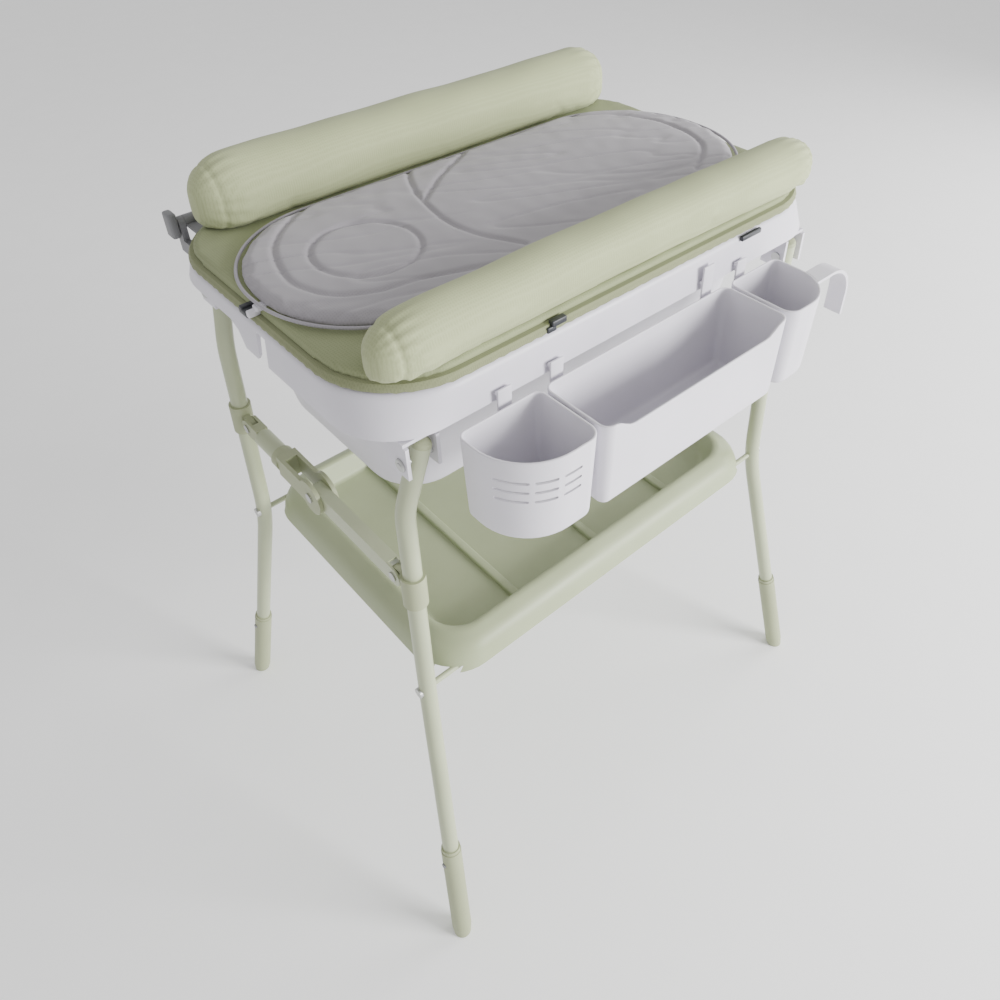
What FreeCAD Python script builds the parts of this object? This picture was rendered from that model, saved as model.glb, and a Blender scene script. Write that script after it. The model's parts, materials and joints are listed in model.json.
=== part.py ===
import FreeCAD, Part
import math
import os

import Sketcher

# Folding changing table: a padded changing top hinged over a baby bath, on a tube stand
# that folds about the tops of its legs, with a lower tray and three hanging bins.
# +X runs along the bath, -Y is the side with the bins, +Z is up, the floor is z = 0.

SIZES = {
    # leg centre line, one quarter of the stand: floor, knee, shoulder and top
    "foot_x": 378.0, "foot_y": 304.0,
    "knee_x": 322.0, "knee_y": 206.0, "knee_z": 450.0, "knee_bend": 420.0,
    "shoulder_x": 313.5, "shoulder_y": 198.0, "shoulder_z": 755.0, "shoulder_bend": 130.0,
    "top_x": 293.0, "top_y": 212.0, "top_z": 846.0,
    "tube_radius": 11.0, "tube_wall": 1.5, "tube_start": 30.0,
    "pivot_drop": 15.0, "pivot_radius": 4.0,
    # foot sleeves and their snap buttons
    "sleeve_radius": 14.0, "sleeve_length": 180.0, "sleeve_fit": 0.1,
    "sleeve_taper": 14.0, "sleeve_tip_radius": 12.0, "collar_step": 6.0, "step_depth": 0.9,
    "button_radius": 3.5, "button_height": 152.0, "button_pocket": 2.4, "button_proud": 1.6,
    # folding spreaders
    "spreader_z": 639.0, "pin_reach": 30.0, "collar_radius": 14.5, "collar_length": 44.0,
    "lug_thickness": 8.0, "lug_radius": 10.5, "pin_radius": 3.5,
    "channel_width": 16.0, "channel_height": 26.0, "channel_wall": 2.4,
    "rear_radius": 12.5, "rear_wall": 1.5, "fork_length": 46.0, "fork_ear": 4.0,
    "hub_radius": 24.0, "hub_cheek": 5.2, "hub_slot": 64.0, "hub_length": 92.0, "rivet_radius": 6.5,
    # cross rods under the tray
    "rod_z": 457.0, "rod_radius": 4.0, "rod_head_radius": 7.0, "rod_head_length": 3.0,
    # lower tray
    "tray_x": 306.0, "tray_y": 224.0, "tray_bottom": 452.0, "tray_height": 40.0,
    "tray_slope": 27.0, "tray_ridge": 10.0, "tray_corner": 62.0, "tray_wall": 3.0,
    "tray_floor": 460.5, "tray_draft": 12.0, "rib_width": 12.0, "rib_height": 7.0, "rib_place": 150.0,
    # bath
    "rim_x": 344.0, "rim_y": 220.5, "rim_z": 906.0, "rim_corner": 100.0,
    "skirt_x": 350.0, "skirt_y": 225.0, "skirt_z": 861.0, "skirt_corner": 78.0,
    "rim_round": 5.0, "bath_wall": 3.0, "mouth_x": 308.0, "mouth_y": 186.0, "mouth_corner": 84.0,
    "bath_floor": 693.0, "base_x": 275.0, "base_y": 135.0, "base_corner": 58.0,
    "base_ease": 16.0,
    # how the skirt is cut away at each end, behind the front corner, as heights at places along Y
    "notch_front": -26.0, "notch_back": -8.0, "notch_top": 896.0,
    "fin_tip": 8.0, "fin_low": 850.0, "fin_back": 50.0, "skirt_back_z": 884.0,
    # drain in the bath floor
    "drain_radius": 17.0, "drain_bore": 15.0, "flange_radius": 27.0, "spigot_radius": 12.5,
    "spigot_length": 34.0, "spigot_wall": 1.8, "plug_height": 9.0,
    # leg brackets under the rim
    "bracket_gap": 4.9, "bracket_cheek": 4.0, "bracket_depth": 34.0, "bracket_low": 817.0,
    "bracket_deck": 4.0, "bracket_roof": 856.0, "neck_half": 9.0,
    # changing top
    "board_x": 336.0, "board_y": 213.0, "board_corner": 94.0, "board_gap": 1.2, "board_thick": 6.0,
    "pad_x": 343.0, "pad_y": 220.0, "pad_corner": 100.0, "pad_thick": 11.0, "layer_gap": 0.3,
    "bolster_end": 50.0, "bolster_right": 330.0,
    "front_left": -328.0, "front_radius": 35.0, "front_y": 189.0, "front_z": 947.0,
    "back_left": -314.0, "back_radius": 43.0, "back_y": 182.0, "back_z": 963.0,
    "liner_x": 341.0, "liner_y": 150.0, "liner_corner": 146.0, "liner_thick": 13.0,
    # hinge of the changing top, at the back of the rim
    "hinge_x": 296.0, "hinge_y": 240.0, "hinge_z": 913.0, "hinge_pin": 3.0, "hinge_fit": 0.05,
    "hinge_eye": 7.5, "hinge_leaf": 22.0, "hinge_ear": 8.0, "hinge_plate": 3.0,
    # bins on the front of the skirt
    "bin_top": 860.0, "bin_back": 237.0, "bin_front": 330.0, "bin_wall": 2.6,
    "box_left": -159.0, "box_right": 132.0, "box_drop": 108.0, "box_corner": 13.0, "box_draft": 3.0,
    "scoop_depth": 13.0, "scoop_half": 118.0, "scoop_run": 34.0,
    "cup_left_from": -270.0, "cup_left_to": -163.0, "cup_right_from": 137.0, "cup_right_to": 228.0,
    "cup_drop": 107.0, "cup_round": 68.0, "cup_end_round": 54.0, "cup_corner": 11.0, "cup_draft": 4.0,
    "vent_width": 22.0, "vent_height": 3.4, "vent_row": 12.5, "vent_drop": 25.0, "vent_middle": -229.0,
    "vent_left": -26.0, "vent_right": 28.0,
    "strap_half": 9.0, "strap_thick": 2.6, "strap_top": 893.0, "strap_low_top": 877.0,
    "lug_low": 863.0, "lug_high": 870.0,
    "lug_proud": 3.2, "hang_gap": 0.3, "box_strap": 119.0,
    # shower hook on the right cup
    "hook_width": 24.0, "hook_back": 58.0, "hook_thick": 4.0, "hook_tip": 296.0, "hook_drop": 78.0,
    "hook_bend": 46.0,
    # joint clearances
    "run_fit": 0.05, "side_gap": 0.4,
}

doc = FreeCAD.newDocument("changing_table")
sheet = doc.addObject("Spreadsheet::Sheet", "Sizes")
for row, (alias, number) in enumerate(SIZES.items(), start=1):
    sheet.set(f"A{row}", alias)
    sheet.set(f"B{row}", str(number))
    sheet.setAlias(f"B{row}", alias)
doc.recompute()

NODES = {}


def size(alias):
    """Return one driving dimension as the sheet holds it."""
    return float(sheet.get(alias))


def expression(text):
    """Point every driving dimension named in an expression at the sheet."""
    words = []
    word = ""
    for letter in str(text) + " ":
        if letter.isalnum() or letter in "_.":
            word += letter
            continue
        words.append(f"Sizes.{word}" if word in SIZES else word)
        words.append(letter)
        word = ""
    return "".join(words).strip()


def bind(thing, name, text):
    thing.setExpression(name, expression(text))


def place(thing, x="0", y="0", z="0"):
    """Bind the three coordinates of an object's place."""
    for axis, text in zip("xyz", (x, y, z)):
        bind(thing, f"Placement.Base.{axis}", text)
    return thing


# ------------------------------------------------------------------ shapes with bound sizes
def box(name, x, y, z, side_x=1, side_y=1):
    """A block from low to high on each axis; side -1 mirrors it to the other half."""
    low_x, low_y = x[0], y[0]
    if side_x < 0:
        low_x = f"-({x[1]})"
    if side_y < 0:
        low_y = f"-({y[1]})"
    block = doc.addObject("Part::Box", name)
    for prop, (low, high) in zip(("Length", "Width", "Height"), (x, y, z)):
        bind(block, prop, f"({high}) - ({low})")
    return place(block, low_x, low_y, z[0])


AXIS_TURN = {
    "x": FreeCAD.Rotation(FreeCAD.Vector(0, 1, 0), 90),
    "y": FreeCAD.Rotation(FreeCAD.Vector(1, 0, 0), -90),
    "z": FreeCAD.Rotation(),
}


def cylinder(name, axis, radius, length, x="0", y="0", z="0"):
    """A round bar that starts at x, y, z and runs along +axis."""
    bar = doc.addObject("Part::Cylinder", name)
    bind(bar, "Radius", radius)
    bind(bar, "Height", length)
    bar.Placement.Rotation = AXIS_TURN[axis]
    return place(bar, x, y, z)


def bar_through(name, axis, radius, half, x="0", y="0", z="0"):
    """A round bar centred on x, y, z that reaches half a length each way."""
    start = {"x": x, "y": y, "z": z}
    start[axis] = f"({start[axis]}) - ({half})"
    return cylinder(name, axis, radius, f"2 * ({half})", start["x"], start["y"], start["z"])


def cut(name, base, *tools):
    for count, tool in enumerate(tools):
        result = doc.addObject("Part::Cut", f"{name}_{count}")
        result.Base = base
        result.Tool = tool
        base = result
    return base


def fuse(name, *shapes):
    result = doc.addObject("Part::MultiFuse", name)
    result.Shapes = list(shapes)
    result.Refine = True
    return result


def rounded_outline(name, half_x, half_y, radii, x="0", y="0", z="0"):
    """A closed sketch of a rectangle whose four corners have their own radii.

    The corners come in the order back right, back left, front left, front right.
    """
    sketch = doc.addObject("Sketcher::SketchObject", name)
    corners = []
    guess_x, guess_y, guess_r = 100.0, 80.0, 20.0
    for count, (sign_x, sign_y) in enumerate(((1, 1), (-1, 1), (-1, -1), (1, -1))):
        centre = FreeCAD.Vector(sign_x * (guess_x - guess_r), sign_y * (guess_y - guess_r), 0)
        circle = Part.Circle(centre, FreeCAD.Vector(0, 0, 1), guess_r)
        start = math.radians(90 * count)
        corners.append(sketch.addGeometry(Part.ArcOfCircle(circle, start, start + math.pi / 2), False))
    sides = []
    for count in range(4):
        start = sketch.Geometry[corners[count]].EndPoint
        end = sketch.Geometry[corners[(count + 1) % 4]].StartPoint
        sides.append(sketch.addGeometry(Part.LineSegment(start, end), False))
    for count in range(4):
        after = corners[(count + 1) % 4]
        sketch.addConstraint(Sketcher.Constraint("Tangent", corners[count], 2, sides[count], 1))
        sketch.addConstraint(Sketcher.Constraint("Tangent", sides[count], 2, after, 1))
    for corner, radius, (sign_x, sign_y) in zip(corners, radii, ((1, 1), (-1, 1), (-1, -1), (1, -1))):
        radius_row = sketch.addConstraint(Sketcher.Constraint("Radius", corner, guess_r))
        across = sketch.addConstraint(
            Sketcher.Constraint("DistanceX", -1, 1, corner, 3, sign_x * (guess_x - guess_r)))
        along = sketch.addConstraint(
            Sketcher.Constraint("DistanceY", -1, 1, corner, 3, sign_y * (guess_y - guess_r)))
        bind(sketch, f"Constraints[{radius_row}]", radius)
        bind(sketch, f"Constraints[{across}]", f"{sign_x} * (({half_x}) - ({radius}))")
        bind(sketch, f"Constraints[{along}]", f"{sign_y} * (({half_y}) - ({radius}))")
    return place(sketch, x, y, z)


def rounded_loft(name, levels, x="0", y="0"):
    """A solid through rounded rectangles: (half_x, half_y, radii, z) for each level."""
    outlines = []
    for count, (half_x, half_y, radii, z) in enumerate(levels):
        four = radii if isinstance(radii, tuple) else (radii,) * 4
        outlines.append(rounded_outline(f"{name}_level{count}", half_x, half_y, four, x, y, z))
    loft = doc.addObject("Part::Loft", name)
    loft.Sections = outlines
    loft.Solid = True
    loft.Ruled = True
    return loft


def polygon_sketch(name, points, host=None):
    """A closed sketch of straight lines whose every corner is bound to the sheet."""
    if host is None:
        sketch = doc.addObject("Sketcher::SketchObject", name)
    else:
        sketch = host.newObject("Sketcher::SketchObject", name)
    count = len(points)
    guesses = [FreeCAD.Vector(evaluate(px), evaluate(py), 0) for px, py in points]
    for start in range(count):
        sketch.addGeometry(Part.LineSegment(guesses[start], guesses[(start + 1) % count]), False)
    for start in range(count):
        sketch.addConstraint(Sketcher.Constraint("Coincident", start, 2, (start + 1) % count, 1))
    for start, (px, py) in enumerate(points):
        for kind, text, guess in (("DistanceX", px, guesses[start].x), ("DistanceY", py, guesses[start].y)):
            row = sketch.addConstraint(Sketcher.Constraint(kind, -1, 1, start, 1, guess))
            bind(sketch, f"Constraints[{row}]", text)
    return sketch


def evaluate(text):
    """Work out an expression of driving dimensions as a number."""
    return float(sheet.evalExpression(expression(text).replace("Sizes.", "")))


def origin_plane(body, role):
    return [plane for plane in body.Origin.OriginFeatures if plane.Role == role][0]


def revolved_body(name, points):
    """A body turned about Z from an outline of (radius, height) pairs."""
    body = doc.addObject("PartDesign::Body", name)
    sketch = polygon_sketch(f"{name}_outline", points, body)
    sketch.AttachmentSupport = [(origin_plane(body, "XZ_Plane"), "")]
    sketch.MapMode = "FlatFace"
    turn = body.newObject("PartDesign::Revolution", f"{name}_turn")
    turn.Profile = sketch
    turn.ReferenceAxis = (sketch, ["V_Axis"])
    turn.Angle = 360
    body.Tip = turn
    return body


def padded_body(name, points, length, plane="YZ_Plane"):
    """A body made by padding an outline both ways from one of its own planes."""
    body = doc.addObject("PartDesign::Body", name)
    sketch = polygon_sketch(f"{name}_outline", points, body)
    sketch.AttachmentSupport = [(origin_plane(body, plane), "")]
    sketch.MapMode = "FlatFace"
    pad = body.newObject("PartDesign::Pad", f"{name}_pad")
    pad.Profile = sketch
    bind(pad, "Length", length)
    pad.Midplane = True
    body.Tip = pad
    return body


def feature(name, shape):
    """A plain shape, for the bends in space that sketches and primitives can't hold."""
    holder = doc.addObject("Part::Feature", name)
    holder.Shape = shape
    return holder


def keep(label, thing):
    """Name a finished sub-part, as an object whose own Placement is free to move it."""
    if thing.TypeId in ("Part::Cylinder", "PartDesign::Body"):
        free = doc.addObject("Part::Refine", f"{label}_free")
        free.Source = thing
        thing = free
    thing.Label = label
    NODES[label] = thing


# ------------------------------------------------------------------ legs
QUARTERS = {"front_left": (-1, -1), "front_right": (1, -1), "back_left": (-1, 1), "back_right": (1, 1)}


def leg_points(side_x, side_y):
    names = (("foot_x", "foot_y", None), ("knee_x", "knee_y", "knee_z"),
             ("shoulder_x", "shoulder_y", "shoulder_z"), ("top_x", "top_y", "top_z"))
    return [FreeCAD.Vector(side_x * size(x), side_y * size(y), size(z) if z else 0.0) for x, y, z in names]


def bent_wire(points, bends):
    """Straight runs joined by tangent arcs of the given radii."""
    edges = []
    start = points[0]
    for before, corner, after, radius in zip(points, points[1:], points[2:], bends):
        into = (corner - before).normalize()
        out = (after - corner).normalize()
        turn = into.getAngle(out)
        trim = radius * math.tan(turn / 2)
        first = corner - into * trim
        last = corner + out * trim
        inward = (out - into).normalize()
        middle = corner + inward * (radius / math.cos(turn / 2) - radius)
        edges.append(Part.LineSegment(start, first).toShape())
        edges.append(Part.Arc(first, middle, last).toShape())
        start = last
    edges.append(Part.LineSegment(start, points[-1]).toShape())
    return Part.Wire(edges)


def swept_tube(wire, start, direction, radius):
    circle = Part.Wire([Part.Circle(start, direction, radius).toShape()])
    return wire.makePipeShell([circle], True, True)


def leg_shapes(side_x, side_y):
    """The outer skin of one bent leg, solid, and the bore inside it."""
    points = leg_points(side_x, side_y)
    direction = (points[1] - points[0]).normalize()
    points[0] = points[0] + direction * size("tube_start")
    wire = bent_wire(points, (size("knee_bend"), size("shoulder_bend")))
    outer = swept_tube(wire, points[0], direction, size("tube_radius"))
    bore = swept_tube(wire, points[0], direction, size("tube_radius") - size("tube_wall"))
    return outer, bore


def leg_axis(side_x, side_y):
    """The straight lower run of a leg: its floor point and its upward direction."""
    points = leg_points(side_x, side_y)
    return points[0], (points[1] - points[0]).normalize()


def along_leg(thing, side_x, side_y, distance):
    """Place a piece that was made about Z on the lower run of a leg."""
    floor_point, direction = leg_axis(side_x, side_y)
    thing.Placement = FreeCAD.Placement(
        floor_point + direction * distance, FreeCAD.Rotation(FreeCAD.Vector(0, 0, 1), direction))


def on_upper_run(height, first, second):
    """The x or y of the leg's upper straight run at a height."""
    share = f"(({height}) - knee_z) / (shoulder_z - knee_z)"
    return f"({first} + ({second} - {first}) * {share})"


SPREADER_X = on_upper_run("spreader_z", "knee_x", "shoulder_x")
COLLAR_Y = on_upper_run("spreader_z", "knee_y", "shoulder_y")
PIVOT_Z = "(top_z - pivot_drop)"
PIVOT_SHARE = f"(({PIVOT_Z} - shoulder_z) / (top_z - shoulder_z))"
PIVOT_X = f"(shoulder_x + (top_x - shoulder_x) * {PIVOT_SHARE})"
PIVOT_Y = f"(shoulder_y + (top_y - shoulder_y) * {PIVOT_SHARE})"
PIN_Y = f"({COLLAR_Y} - pin_reach)"

LEG_SKINS = {}
for corner, (side_x, side_y) in QUARTERS.items():
    outer, bore = leg_shapes(side_x, side_y)
    LEG_SKINS[corner] = feature(f"leg_skin_{corner}", outer)
    leg_bore = feature(f"leg_bore_{corner}", bore)
    pivot_hole = bar_through(f"leg_pivot_hole_{corner}", "x", "pivot_radius + run_fit", "2 * tube_radius",
                             f"{side_x} * {PIVOT_X}", f"{side_y} * {PIVOT_Y}", PIVOT_Z)
    keep(f"leg_tube_{corner}", cut(f"leg_tube_{corner}", LEG_SKINS[corner], leg_bore, pivot_hole))


def foot_sleeve(corner, side_x, side_y):
    """A sleeve that telescopes on the leg's lower end, cut flat where it stands."""
    outline = (
        ("tube_radius + sleeve_fit", "tube_start - 4"), ("tube_radius + sleeve_fit", "sleeve_length"),
        ("sleeve_radius - step_depth", "sleeve_length"), ("sleeve_radius - step_depth",
                                                          "sleeve_length - collar_step"),
        ("sleeve_radius", "sleeve_length - collar_step"), ("sleeve_radius", "sleeve_taper"),
        ("sleeve_tip_radius", "-4"), ("0", "-4"), ("0", "tube_start - 4"),
    )
    sleeve = revolved_body(f"sleeve_{corner}", outline)
    along_leg(sleeve, side_x, side_y, 0)
    floor = box(f"floor_{corner}", ("foot_x - 60", "foot_x + 60"), ("foot_y - 60", "foot_y + 60"),
                ("-60", "0"), side_x, side_y)
    pocket = doc.addObject("Part::Cylinder", f"button_pocket_{corner}")
    bind(pocket, "Radius", "button_radius + run_fit")
    bind(pocket, "Height", "button_pocket")
    button_place(pocket, side_x, side_y, size("sleeve_radius") - size("button_pocket"))
    keep(f"foot_sleeve_{corner}", cut(f"foot_sleeve_{corner}", sleeve, floor, pocket))


def button_place(thing, side_x, side_y, distance):
    """Place a piece so that its Z points out of the sleeve's outer side, towards the end of the table."""
    floor_point, direction = leg_axis(side_x, side_y)
    outward = FreeCAD.Vector(side_x, 0, 0)
    outward = (outward - direction * outward.dot(direction)).normalize()
    centre = floor_point + direction * size("button_height")
    thing.Placement = FreeCAD.Placement(
        centre + outward * distance, FreeCAD.Rotation(FreeCAD.Vector(0, 0, 1), outward))


def foot_button(corner, side_x, side_y):
    button = doc.addObject("Part::Cylinder", f"button_{corner}")
    bind(button, "Radius", "button_radius")
    bind(button, "Height", "button_proud + 0.3")
    button_place(button, side_x, side_y, size("sleeve_radius") - 0.3)
    keep(f"foot_button_{corner}", button)


for corner, (side_x, side_y) in QUARTERS.items():
    foot_sleeve(corner, side_x, side_y)
    foot_button(corner, side_x, side_y)


def leg_collar(corner, side_x, side_y):
    """A moulded collar on the leg with a lug that carries one end of the spreader."""
    points = leg_points(side_x, side_y)
    direction = (points[2] - points[1]).normalize()
    share = (size("spreader_z") - size("knee_z")) / (size("shoulder_z") - size("knee_z"))
    centre = points[1] + (points[2] - points[1]) * share
    ring = doc.addObject("Part::Cylinder", f"collar_ring_{corner}")
    bind(ring, "Radius", "collar_radius")
    bind(ring, "Height", "collar_length")
    ring.Placement = FreeCAD.Placement(centre - direction * (size("collar_length") / 2),
                                       FreeCAD.Rotation(FreeCAD.Vector(0, 0, 1), direction))
    middle = f"{side_x} * {SPREADER_X}"
    lug = box(f"collar_lug_{corner}",
              (f"{SPREADER_X} - lug_thickness / 2", f"{SPREADER_X} + lug_thickness / 2"),
              (PIN_Y, COLLAR_Y), ("spreader_z - lug_radius", "spreader_z + lug_radius"), side_x, side_y)
    nose = bar_through(f"collar_nose_{corner}", "x", "lug_radius", "lug_thickness / 2",
                       middle, f"{side_y} * {PIN_Y}", "spreader_z")
    hole = bar_through(f"collar_hole_{corner}", "x", "pin_radius + run_fit", "lug_thickness",
                       middle, f"{side_y} * {PIN_Y}", "spreader_z")
    whole = fuse(f"collar_whole_{corner}", ring, lug, nose)
    keep(f"leg_collar_{corner}", cut(f"leg_collar_{corner}", whole, hole, LEG_SKINS[corner]))


for corner, (side_x, side_y) in QUARTERS.items():
    leg_collar(corner, side_x, side_y)


# ------------------------------------------------------------------ cross rods
def cross_rod(name, side_y):
    """A thin rod between the left and right legs, and the rivet heads outside them."""
    reach = f"({on_upper_run('rod_z', 'knee_x', 'shoulder_x')})"
    middle_y = f"{side_y} * {on_upper_run('rod_z', 'knee_y', 'shoulder_y')}"
    left, right = [LEG_SKINS[f"{name}_{side}"] for side in ("left", "right")]
    rod = bar_through(f"rod_{name}", "x", "rod_radius", reach, "0", middle_y, "rod_z")
    keep(f"cross_rod_{name}", cut(f"cross_rod_{name}", rod, left, right))
    heads = []
    for side in (-1, 1):
        start = f"{reach} + tube_radius - 2" if side > 0 else f"-({reach} + tube_radius + rod_head_length)"
        heads.append(cylinder(f"rod_head_{name}_{'r' if side > 0 else 'l'}", "x", "rod_head_radius",
                              "rod_head_length + 2", start, middle_y, "rod_z"))
    pair = fuse(f"rod_heads_{name}", *heads)
    keep(f"rod_rivets_{name}", cut(f"rod_rivets_{name}", pair, left, right))


cross_rod("front", -1)
cross_rod("back", 1)


# ------------------------------------------------------------------ spreaders
def spreader(side, side_x):
    """One folding brace: a channel half on the front legs, a tube half on the back legs."""
    middle = f"{side_x} * {SPREADER_X}"
    channel_end = "(lug_radius + 1)"
    outside = box(f"channel_block_{side}",
                  (f"{SPREADER_X} - channel_width / 2", f"{SPREADER_X} + channel_width / 2"),
                  (f"-{PIN_Y}", "0"),
                  ("spreader_z - channel_height / 2", "spreader_z + channel_height / 2"), side_x)
    ends = [bar_through(f"channel_end_{side}_{count}", "x", "channel_height / 2", "channel_width / 2",
                        middle, y, "spreader_z") for count, y in enumerate((f"-{PIN_Y}", "0"))]
    whole = fuse(f"channel_whole_{side}", outside, *ends)
    trough = box(f"channel_trough_{side}",
                 (f"{SPREADER_X} - channel_width / 2 + channel_wall",
                  f"{SPREADER_X} + channel_width / 2 - channel_wall"),
                 (f"-{PIN_Y} + {channel_end}", "channel_height / 2 - channel_wall"),
                 ("spreader_z - channel_height / 2 - 1", "spreader_z + channel_height / 2 - channel_wall"),
                 side_x)
    mouth = box(f"channel_mouth_{side}",
                (f"{SPREADER_X} - channel_width / 2 + channel_wall",
                 f"{SPREADER_X} + channel_width / 2 - channel_wall"),
                (f"-{PIN_Y} - channel_height", f"-{PIN_Y} + {channel_end}"),
                ("spreader_z - channel_height", "spreader_z + channel_height"), side_x)
    hole = bar_through(f"channel_hole_{side}", "x", "pin_radius", "channel_width", middle, f"-{PIN_Y}",
                       "spreader_z")
    keep(f"spreader_channel_{side}", cut(f"spreader_channel_{side}", whole, trough, mouth, hole))
    pin = bar_through(f"channel_pin_{side}", "x", "pin_radius", "channel_width / 2", middle, f"-{PIN_Y}",
                      "spreader_z")
    heads = [cylinder(f"channel_pin_head_{side}_{count}", "x", "pin_radius + 2.5", "1.8",
                      f"{middle} + ({start})", f"-{PIN_Y}", "spreader_z")
             for count, start in enumerate(("channel_width / 2", "-channel_width / 2 - 1.8"))]
    keep(f"channel_pin_{side}", fuse(f"channel_pin_whole_{side}", pin, *heads))

    tube_from = "(hub_length - 14)"
    tube_to = f"({PIN_Y} - fork_length + 16)"
    tube = cylinder(f"rear_tube_{side}", "y", "rear_radius", f"{tube_to} - {tube_from}", middle, tube_from,
                    "spreader_z")
    tube_bore = cylinder(f"rear_bore_{side}", "y", "rear_radius - rear_wall", f"{tube_to} - {tube_from}",
                         middle, tube_from, "spreader_z")
    keep(f"spreader_tube_{side}", cut(f"spreader_tube_{side}", tube, tube_bore))

    fork_half = "(lug_thickness / 2 + side_gap + fork_ear)"
    shank = cylinder(f"fork_shank_{side}", "y", "rear_radius - rear_wall", "16", middle,
                     f"{tube_to} - 16", "spreader_z")
    block = box(f"fork_block_{side}", (f"{SPREADER_X} - {fork_half}", f"{SPREADER_X} + {fork_half}"),
                (tube_to, PIN_Y), ("spreader_z - rear_radius", "spreader_z + rear_radius"), side_x)
    nose = bar_through(f"fork_nose_{side}", "x", "rear_radius", fork_half, middle, PIN_Y, "spreader_z")
    fork = fuse(f"fork_whole_{side}", shank, block, nose)
    slot = box(f"fork_slot_{side}",
               (f"{SPREADER_X} - lug_thickness / 2 - side_gap", f"{SPREADER_X} + lug_thickness / 2 + side_gap"),
               (f"{PIN_Y} - lug_radius - 3", f"{PIN_Y} + 2 * rear_radius"),
               ("spreader_z - 2 * rear_radius", "spreader_z + 2 * rear_radius"), side_x)
    fork_hole = bar_through(f"fork_hole_{side}", "x", "pin_radius", "2 * rear_radius", middle, PIN_Y,
                            "spreader_z")
    keep(f"spreader_fork_{side}", cut(f"spreader_fork_{side}", fork, slot, fork_hole))
    fork_pin = bar_through(f"fork_pin_bar_{side}", "x", "pin_radius", fork_half, middle, PIN_Y, "spreader_z")
    fork_heads = [cylinder(f"fork_pin_head_{side}_{count}", "x", "pin_radius + 2.5", "1.8",
                           f"{middle} + ({start})", PIN_Y, "spreader_z")
                  for count, start in enumerate((fork_half, f"-{fork_half} - 1.8"))]
    keep(f"fork_pin_{side}", fuse(f"fork_pin_whole_{side}", fork_pin, *fork_heads))

    hub_half = "(channel_width / 2 + side_gap + hub_cheek)"
    cheeks = bar_through(f"hub_round_{side}", "x", "hub_radius", hub_half, middle, "0", "spreader_z")
    shell = box(f"hub_block_{side}", (f"{SPREADER_X} - {hub_half}", f"{SPREADER_X} + {hub_half}"),
                ("0", tube_from), ("spreader_z - rear_radius - 3", "spreader_z + rear_radius + 3"), side_x)
    socket = cylinder(f"hub_socket_{side}", "y", "rear_radius + 3", "14", middle, tube_from, "spreader_z")
    hub = fuse(f"hub_whole_{side}", cheeks, shell, socket)
    gap = box(f"hub_gap_{side}",
              (f"{SPREADER_X} - channel_width / 2 - side_gap", f"{SPREADER_X} + channel_width / 2 + side_gap"),
              ("-2 * hub_radius", "hub_slot"),
              ("spreader_z - 3 * hub_radius", "spreader_z + 3 * hub_radius"), side_x)
    seat = cylinder(f"hub_seat_{side}", "y", "rear_radius", "40", middle, tube_from, "spreader_z")
    rivet_half = f"({hub_half} + 2)"
    rivet_room = bar_through(f"hub_rivet_room_{side}", "x", "rivet_radius", rivet_half, middle, "0",
                             "spreader_z")
    keep(f"hub_housing_{side}", cut(f"hub_housing_{side}", hub, gap, seat, rivet_room))
    rivet_bar = bar_through(f"hub_rivet_bar_{side}", "x", "rivet_radius", rivet_half, middle, "0",
                            "spreader_z")
    rivet_gap = box(f"hub_rivet_gap_{side}",
                    (f"{SPREADER_X} - channel_width / 2 - side_gap",
                     f"{SPREADER_X} + channel_width / 2 + side_gap"),
                    ("-hub_radius", "hub_radius"), ("spreader_z - hub_radius", "spreader_z + hub_radius"),
                    side_x)
    keep(f"hub_rivets_{side}", cut(f"hub_rivets_{side}", rivet_bar, rivet_gap))


spreader("left", -1)
spreader("right", 1)


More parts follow.
